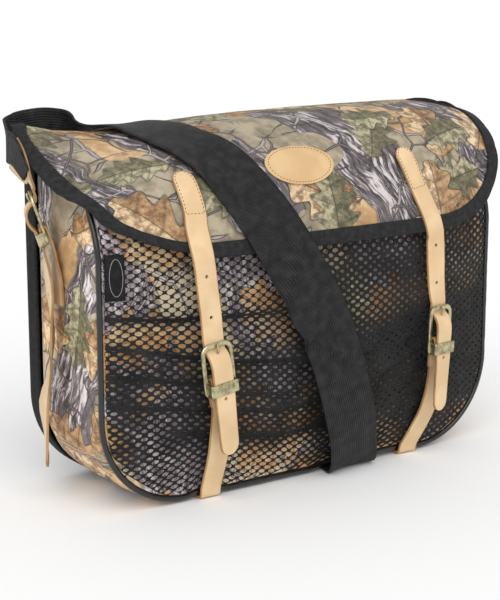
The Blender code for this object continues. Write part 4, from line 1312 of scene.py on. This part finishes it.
def leather_patch(stuff, sewing):
    """Bare oval leather patch with a stitched, slightly raised rim."""
    centre_z = DOME_START + FLAP_CORNER_DOWN
    points = [Vector((0, y, z)) for y, z in FLAP_CENTRE]
    lengths = lengths_along(points)
    table = [(s, p.y, p.z) for s, p in zip(lengths, points)]
    middle = next(s for s, p in zip(lengths, points) if p.z <= centre_z)

    def on_flap(across, down, height):
        y, z = between(table, middle + down)
        return stand_off_flap(flap_point(PATCH_X + across, y, z), height)

    def oval(part, count):
        """Distances across and down of the places on an oval, a part of the patch's size."""
        return [(c * PATCH_SIZE[0] / 2, s * PATCH_SIZE[1] / 2) for c, s in circle(part, count)]

    work, layer = new_work()
    rings = []
    for part, height in PATCH_RINGS:
        rings.append([(work.verts.new(to_frame(on_flap(*spot, height))), spot) for spot in oval(part, 72)])
    work.faces.new([v for v, flat in rings[0]])
    for a, b in zip(rings, rings[1:]):
        for i in range(len(a)):
            n = (i + 1) % len(a)
            quad(work, layer, [a[i][0], b[i][0], b[n][0], a[n][0]], [a[i][1], b[i][1], b[n][1], a[n][1]])
    work.faces.new([v for v, flat in reversed(rings[-1])])
    bmesh.ops.recalc_face_normals(work, faces=work.faces)
    finish_piece("oval_patch", work, [stuff], "leather_patch")
    line = []
    outs = []
    seam = oval(0.9, 120)
    for spot in seam + seam[:1]:
        low = on_flap(*spot, 1.3)
        line.append(low)
        outs.append((on_flap(*spot, 3.0) - low).normalized())
    stitches("oval_patch_stitches", spaced(line, outs, 2.9), sewing, 1.7, 0.36)


def woven_label(stuff, border):
    """Bare woven label caught in the piping seam, with a plain woven oval line."""
    width, height = LABEL_SIZE
    rows = []
    flats = []
    for z in steps(LABEL_AT[1] + height / 2, LABEL_AT[1] - height / 2, 13):
        xs = steps(LABEL_AT[0] - width / 2, LABEL_AT[0] + width / 2, 9)
        rows.append([Vector((x, net_depth(x, z) - 1.65, z)) for x in xs])
        flats.append([(x, z) for x in xs])
    made = grid("seam_label", rows, flats, 0.7, [stuff], "woven_label")
    line = []
    for a in steps(0, 2 * math.pi, 61):
        x = LABEL_AT[0] + 1 + 5.0 * math.cos(a)
        z = LABEL_AT[1] + 14.5 * math.sin(a)
        line.append(Vector((x, net_depth(x, z) - 1.75, z)))
    outs = [Vector((-0.3, -1, 0)).normalized()] * len(line)
    stitches("seam_label_border", spaced(line, outs, 1.0), border, 1.3, 0.22)
    return made


# Leather and brass pieces

def ribbon(name, stations, node, stuffs, holes=()):
    """A leather strap, kept off the flap and the net, with punched holes; gives its stations."""
    fine = with_normals(stations, 3)
    kept = []
    for centre, side, out, width in fine:
        point = centre
        low = centre - side * width / 2
        high = centre + side * width / 2
        if centre.z > DOME_START - 3 and centre.y < BAG_DEPTH / 2:
            point, low, high = (stand_off_flap(p, LEATHER / 2 + OFF_FLAP) for p in (point, low, high))
        point, low, high = (clear_of_net(p, LEATHER / 2 + OFF_NET) for p in (point, low, high))
        centre = (low + high) / 2 * 0.5 + point * 0.5
        side = (high - low).normalized() if width > 2 else side
        kept.append((centre, side, width))
    centres = [centre for centre, side, width in kept]
    refined = []
    for i, (centre, side, width) in enumerate(kept):
        refined.append((centre, side, heading(centres, i).cross(side).normalized(), width))
    made = sweep(name, refined, STRAP_SECTION, stuffs, node, raw=STRAP_RAW)
    if holes:
        cut_holes(made, holes)
    return refined


def round_end(middle, across, away, width, flat=1.0):
    """Stations of a rounded strap tip that ends past middle in the direction away."""
    made = []
    for angle in (15, 30, 45, 58, 70, 80, 86):
        reach = width / 2 * flat * math.sin(math.radians(angle))
        made.append((middle + away * reach, across, width * math.cos(math.radians(angle))))
    return made


def buckle(name, place, stuff):
    """Brass frame with eased edges, a hinge bar and a raised keeper band, one mesh."""
    width, height = BUCKLE_OUTER
    bar = BUCKLE_BAR
    line = []
    for sx, sz, start in ((1, 1, 0), (-1, 1, 90), (-1, -1, 180), (1, -1, 270)):
        corner = 6.0 if sz > 0 else 2.0
        for angle in steps(start, start + 90, 7):
            a = math.radians(angle)
            line.append(Vector((sx * (width / 2 - bar / 2 - corner) + corner * math.cos(a), 0,
                                sz * (height / 2 - bar / 2 - corner) + corner * math.sin(a))))
    work = new_work()[0]

    def ring_at(centre, side, section):
        return [work.verts.new(centre + side * a + Vector((0, -b, 0))) for a, b in section]

    b = bar / 2
    t = BUCKLE_PLATE / 2
    section = [(-b, -t * 0.5), (-b, t * 0.5), (-b * 0.6, t), (b * 0.6, t), (b, t * 0.5), (b, -t * 0.5),
               (b * 0.6, -t), (-b * 0.6, -t)]
    rings = []
    for i, point in enumerate(line):
        ahead = line[(i + 1) % len(line)] - line[i - 1]
        rings.append(ring_at(point, Vector((ahead.z, 0, -ahead.x)).normalized(), section))
    skin(work, rings, True)
    reach = width / 2 - bar * 0.6
    skin(work, [ring_at(Vector((x, 0, -HINGE_DROP)), Vector((0, 0, 1)), circle(HINGE_HALF, 10))
                for x in (-reach, reach)])
    keeper_band(work, height)
    cast_piece(name, work, place, stuff, 35.0)


def cast_piece(name, work, place, stuff, smooth_angle):
    """Close a bmesh that was made upright at the origin, and put it in its place."""
    bmesh.ops.recalc_face_normals(work, faces=work.faces)
    for vert in work.verts:
        vert.co = to_frame(place @ vert.co)
    finish_piece(name + "_brass", work, [stuff], name, smooth_angle)


def keeper_band(work, height):
    """The flat band that stands in front of the buckle's lower end."""
    half = KEEPER_WIDTH / 2
    ease = 1.6
    path = [(-half, 0.6), (-half, -KEEPER_REACH + ease)]
    path += [(-half + ease - ease * math.cos(a), -KEEPER_REACH + ease - ease * math.sin(a))
             for a in steps(0.3, math.pi / 2, 5)]
    path += [(-x, y) for x, y in reversed(path)]
    points = [Vector(spot) for spot in path]
    low = -height / 2
    high = low + KEEPER_HEIGHT
    rings = []
    for i, (x, y) in enumerate(path):
        ahead = heading(points, i)
        normal = Vector((ahead.y, -ahead.x)).normalized()
        inner = (x - normal.x * KEEPER_WALL, y - normal.y * KEEPER_WALL)
        rim = 0.45
        rings.append([work.verts.new(p) for p in (
            (x, y, low + rim), (x, y, high - rim), (x - normal.x * rim, y - normal.y * rim, high),
            (*inner, high), (*inner, low), (x - normal.x * rim, y - normal.y * rim, low))])
    skin(work, rings)


def prong(name, place, stuff):
    """Brass prong: a ring round the hinge bar and a shank whose tip rests on the frame."""
    ring = HINGE_HALF * math.sqrt(2) + 0.25 + PRONG_RADIUS
    tip_out = BUCKLE_PLATE / 2 + 0.35 + PRONG_RADIUS
    route = []
    for angle in steps(75, 345, 17):
        a = math.radians(angle)
        route.append(Vector((0, -ring * math.sin(a), -HINGE_DROP + ring * math.cos(a))))
    shank = ((0, 0.3), (5.5, 0.6), (11, 1.0), (16.2, tip_out), (20.5, tip_out))
    route += smooth_route([Vector((0, -out, up)) for up, out in shank], 4)
    work = new_work()[0]
    rings = []
    for i, centre in enumerate(route):
        side = Vector((1, 0, 0))
        out = heading(route, i).normalized().cross(side)
        size = PRONG_RADIUS * (0.7 if i == len(route) - 1 else 1.0)
        rings.append([work.verts.new(centre + side * c + out * s) for c, s in circle(size, 10)])
    skin(work, rings)
    cast_piece(name, work, place, stuff, 60.0)


def in_buckle(place, up, out):
    """A point given by its height along the buckle and its distance out of it."""
    return place @ Vector((0.0, -out, up))


def strap_along(place, across, table):
    """Stations of a strap from rows of height along the buckle and distance out of it."""
    return [(in_buckle(place, up, out), across, STRAP_WIDTH) for up, out in table]


def anchor_strap(name, place, lower, stuffs):
    """The leather that holds a buckle: looped round its hinge bar."""
    across = (place.to_3x3() @ Vector((1, 0, 0))).normalized()
    radius = ANCHOR_FRONT[-1][1]
    turns = [math.radians(angle) for angle in steps(90, -90, 6)[1:-1]]
    loop = [(-HINGE_DROP + radius * math.cos(a), radius * math.sin(a)) for a in turns]
    stations = strap_along(place, across, ANCHOR_FRONT + loop + ANCHOR_BEHIND)
    ribbon(name + "_leather", stations + lower, name, stuffs)


def border_stitches(name, stations, first, last, sewing):
    """Stitches down both edges of a strap and round its tip, closed by a row across."""
    left = []
    right = []
    outs = []
    for centre, side, out, width in stations[first:last]:
        inset = max(width / 2 - 2.2, 0.2)
        lift = out * (LEATHER / 2 + 0.05)
        left.append(centre - side * inset + lift)
        right.append(centre + side * inset + lift)
        outs.append(out)
    line = list(reversed(left)) + right
    row = [left[-1], right[-1]]
    places = spaced(line, list(reversed(outs)) + outs, 3.0) + spaced(row, [outs[-1]] * 2, 3.0)
    stitches(name, places, sewing, 1.9, 0.4)


def front_set(side, table, stuffs, brass, sewing):
    """Strap, anchor, buckle and prong on the front."""
    x, z, yaw, roll = table["buckle"]
    depth = net_depth(x, z) - BUCKLE_OFF_NET
    turn = Matrix.Rotation(math.radians(-yaw), 4, "Z") @ Matrix.Rotation(math.radians(roll), 4, "Y")
    place = Matrix.Translation((x, depth, z)) @ turn
    buckle("front_buckle_" + side, place, brass)
    prong("front_prong_" + side, place, brass)

    level = Vector((1, 0, 0))
    before = []
    for z_sewn, x_sewn in table["sewn"]:
        spot = Vector((x_sewn, flap_front(z_sewn), z_sewn))
        if z_sewn > DOME_START:
            on_flap = flap_point(*spot)
            spot = Vector((x_sewn, on_flap.y, on_flap.z))
        else:
            spot.y = depth + 3.0
        before.append((spot, level, STRAP_WIDTH))
    away = (before[0][0] - before[1][0]).normalized()
    before = list(reversed(round_end(before[0][0], level, away, STRAP_WIDTH))) + before
    across = (place.to_3x3() @ Vector((1, 0, 0))).normalized()
    through = strap_along(place, across, THROUGH_BUCKLE)
    for index, (up, out) in enumerate(FRONT_TAIL):
        turned = table["tail_turn"] * (index + 1) / len(FRONT_TAIL)
        twist = Matrix.Rotation(math.radians(turned), 3, "Z")
        through.append((in_buckle(place, up, out), twist @ across, STRAP_WIDTH))
    away = (through[-1][0] - through[-2][0]).normalized()
    stations = before + through + round_end(through[-1][0], through[-1][1], away, STRAP_WIDTH, 0.8)
    out = Vector((0, -1, 0))
    holes = []
    for up in (2, 1):
        z_hole = z + PRONG_SLOT_LOW + up * HOLE_PITCH
        x_hole = between([(-a, b) for a, b in table["sewn"]], -z_hole)[0]
        holes.append((Vector((x_hole, depth + 2, z_hole)), out))
    holes.append((in_buckle(place, -24.5, 5.0), out))
    name = "front_strap_" + side
    fine = ribbon(name + "_leather", stations, name, stuffs, holes)
    border_stitches(name + "_stitches", fine, 2, 3 * 9 + 1, sewing)

    lower = []
    for z_low, x_low in table["anchor"]:
        y_low = net_depth(x_low, z_low) - LEATHER / 2 - OFF_NET
        lower.append((Vector((x_low, y_low, z_low)), level, STRAP_WIDTH))
    foot = table["foot"]
    for y, height in ((-PIPING_RADIUS - 1.8, 2.6), (-0.6, 1.05), (12, 1.0), (32, 1.0)):
        lower.append((Vector((foot, y, height)), level, STRAP_WIDTH))
    anchor_strap("front_anchor_" + side, place, lower, stuffs)


def side_set(side, mirror, stuffs, brass):
    """Strap, anchor, buckle and prong that carry the webbing on one side."""
    x, y, z = SIDE_BUCKLE_AT
    lean = math.radians(SIDE_BUCKLE_LEAN)
    bearing = math.radians(SIDE_BUCKLE_TURN)
    outward = Vector((-math.cos(bearing) * mirror, math.sin(bearing), 0))
    up = outward * math.sin(lean) + Vector((0, 0, math.cos(lean)))
    across = Vector((-math.sin(bearing), -math.cos(bearing) * mirror, 0))
    out = across.cross(up)
    turn = Matrix((across, -out, up)).transposed().to_4x4()
    place = Matrix.Translation((x * mirror, y, z)) @ turn
    buckle("side_buckle_" + side, place, brass)
    prong("side_prong_" + side, place, brass)

    def world(row):
        return Vector((row[0] * mirror, row[1], row[2]))

    def turned(degrees):
        angle = math.radians(degrees)
        return Vector((-math.sin(angle), -math.cos(angle) * mirror, 0))

    before = [(world(row), Vector((row[4], row[5] * mirror, row[6])), row[3]) for row in SIDE_STRAP_TOP]
    middle = strap_along(place, across, THROUGH_SIDE_BUCKLE)
    after = [(world(row), turned(row[3]), STRAP_WIDTH) for row in SIDE_STRAP_TAIL]
    away = (after[-1][0] - after[-2][0]).normalized()
    stations = before + middle + after + round_end(after[-1][0], after[-1][1], away, STRAP_WIDTH, 0.8)
    holes = [(world(SIDE_STRAP_TAIL[0]), out)]
    for index in (1, 2, 3):
        spot = world(SIDE_STRAP_TAIL[0])
        spot.z -= HOLE_PITCH * index
        holes.append((spot, Vector((-mirror, 0, 0))))
    name = "side_strap_" + side
    ribbon(name + "_leather", stations, name, stuffs, holes)
    lower = [(world(row), turned(row[3]), STRAP_WIDTH) for row in SIDE_ANCHOR]
    anchor_strap("side_anchor_" + side, place, lower, stuffs)


# Studio

def studio():
    """Pale floor, soft light and the camera at the photograph's angle."""
    bpy.ops.mesh.primitive_plane_add(size=FLOOR_SIZE, location=(0, 0, -FLOOR_DROP))
    floor = bpy.context.object
    floor.name = "studio_floor"
    paper = bpy.data.materials.new("pale_paper")
    paper.use_nodes = True
    shader = paper.node_tree.nodes["Principled BSDF"]
    shader.inputs["Base Color"].default_value = PAPER_TONE
    shader.inputs["Roughness"].default_value = PAPER_ROUGHNESS
    floor.data.materials.append(paper)

    world = bpy.data.worlds.new("soft_white")
    world.use_nodes = True
    sky = world.node_tree.nodes["Background"]
    sky.inputs["Color"].default_value = (1, 1, 1, 1)
    sky.inputs["Strength"].default_value = SKY_STRENGTH
    bpy.context.scene.world = world
    sun = bpy.data.lights.new("soft_sun", "SUN")
    sun.energy = SUN_STRENGTH
    sun.angle = math.radians(SUN_ANGLE)
    lamp = bpy.data.objects.new("soft_sun", sun)
    bpy.context.scene.collection.objects.link(lamp)
    lamp.rotation_euler = SUN_FROM.to_track_quat("Z", "Y").to_euler()

    yaw = math.radians(CAMERA_YAW)
    pitch = math.radians(CAMERA_PITCH)
    back = Vector((-math.sin(yaw) * math.cos(pitch), -math.cos(yaw) * math.cos(pitch), math.sin(pitch)))
    target = (CAMERA_TARGET - MIDDLE) * MM
    camera = bpy.data.objects.new("camera", bpy.data.cameras.new("camera"))
    bpy.context.scene.collection.objects.link(camera)
    camera.data.lens = CAMERA_LENS
    camera.data.sensor_width = SENSOR
    camera.location = target + back * (CAMERA_DISTANCE * MM)
    camera.rotation_euler = (-back).to_track_quat("-Z", "Y").to_euler()
    bpy.context.scene.camera = camera
    bpy.context.scene.view_settings.view_transform = "Standard"


studio()
camo = camouflage("woodland_cloth", 0.97, 0.0, 0.58)
# The side copy of the print is painted lighter. This is painted light for the brighter light on the sides.
camo_side_painted_light = camouflage("woodland_cloth_side_painted_light", 1.14, 0.73, 0.88)
# The front copy of the print is painted much lighter. This is painted light standing in for the light that
# the net holds back from the panel behind it.
camo_front_painted_light = camouflage("woodland_cloth_front_painted_light", 1.75, 0.2, 0.95)
back_cloth = black_cloth("black_back_cloth", 28, 1.4)
tape = black_cloth("black_tape", 40, 1.2)
label_cloth = black_cloth("black_label_cloth", 26, 0.8)
net = net_thread()
weave = webbing_weave()
vinyl = glossy_piping()
leather = tan_leather("tan_leather", (216, 184, 140), (230, 200, 157), 0.12, 0.45)
raw_edge = tan_leather("raw_leather", (150, 112, 70), (186, 146, 98), 0.3, 0.7)
patch_leather = tan_leather("patch_leather", (208, 172, 124), (220, 186, 138), 0.1, 0.45)
brass = antique_brass()
brown_thread = thread("brown_thread", (150, 108, 62))
black_thread = thread("black_thread", (84, 82, 84))
grey_thread = thread("grey_thread", (200, 200, 202))

front = front_panel(camo_front_painted_light)
side_strip = gusset(camo_side_painted_light)
back = back_panel(back_cloth)
piping(vinyl)
net_cloth = net_pocket(net)
cover = flap(camo)
cover_tape = flap_binding(tape, black_thread)
leather_patch(patch_leather, brown_thread)
label = woven_label(label_cloth, grey_thread)
sling = shoulder_webbing(weave)
for side, table in FRONT_STRAPS.items():
    front_set(side, table, [leather, raw_edge], brass, brown_thread)
for side, mirror in (("left", 1.0), ("right", -1.0)):
    side_set(side, mirror, [leather, raw_edge], brass)
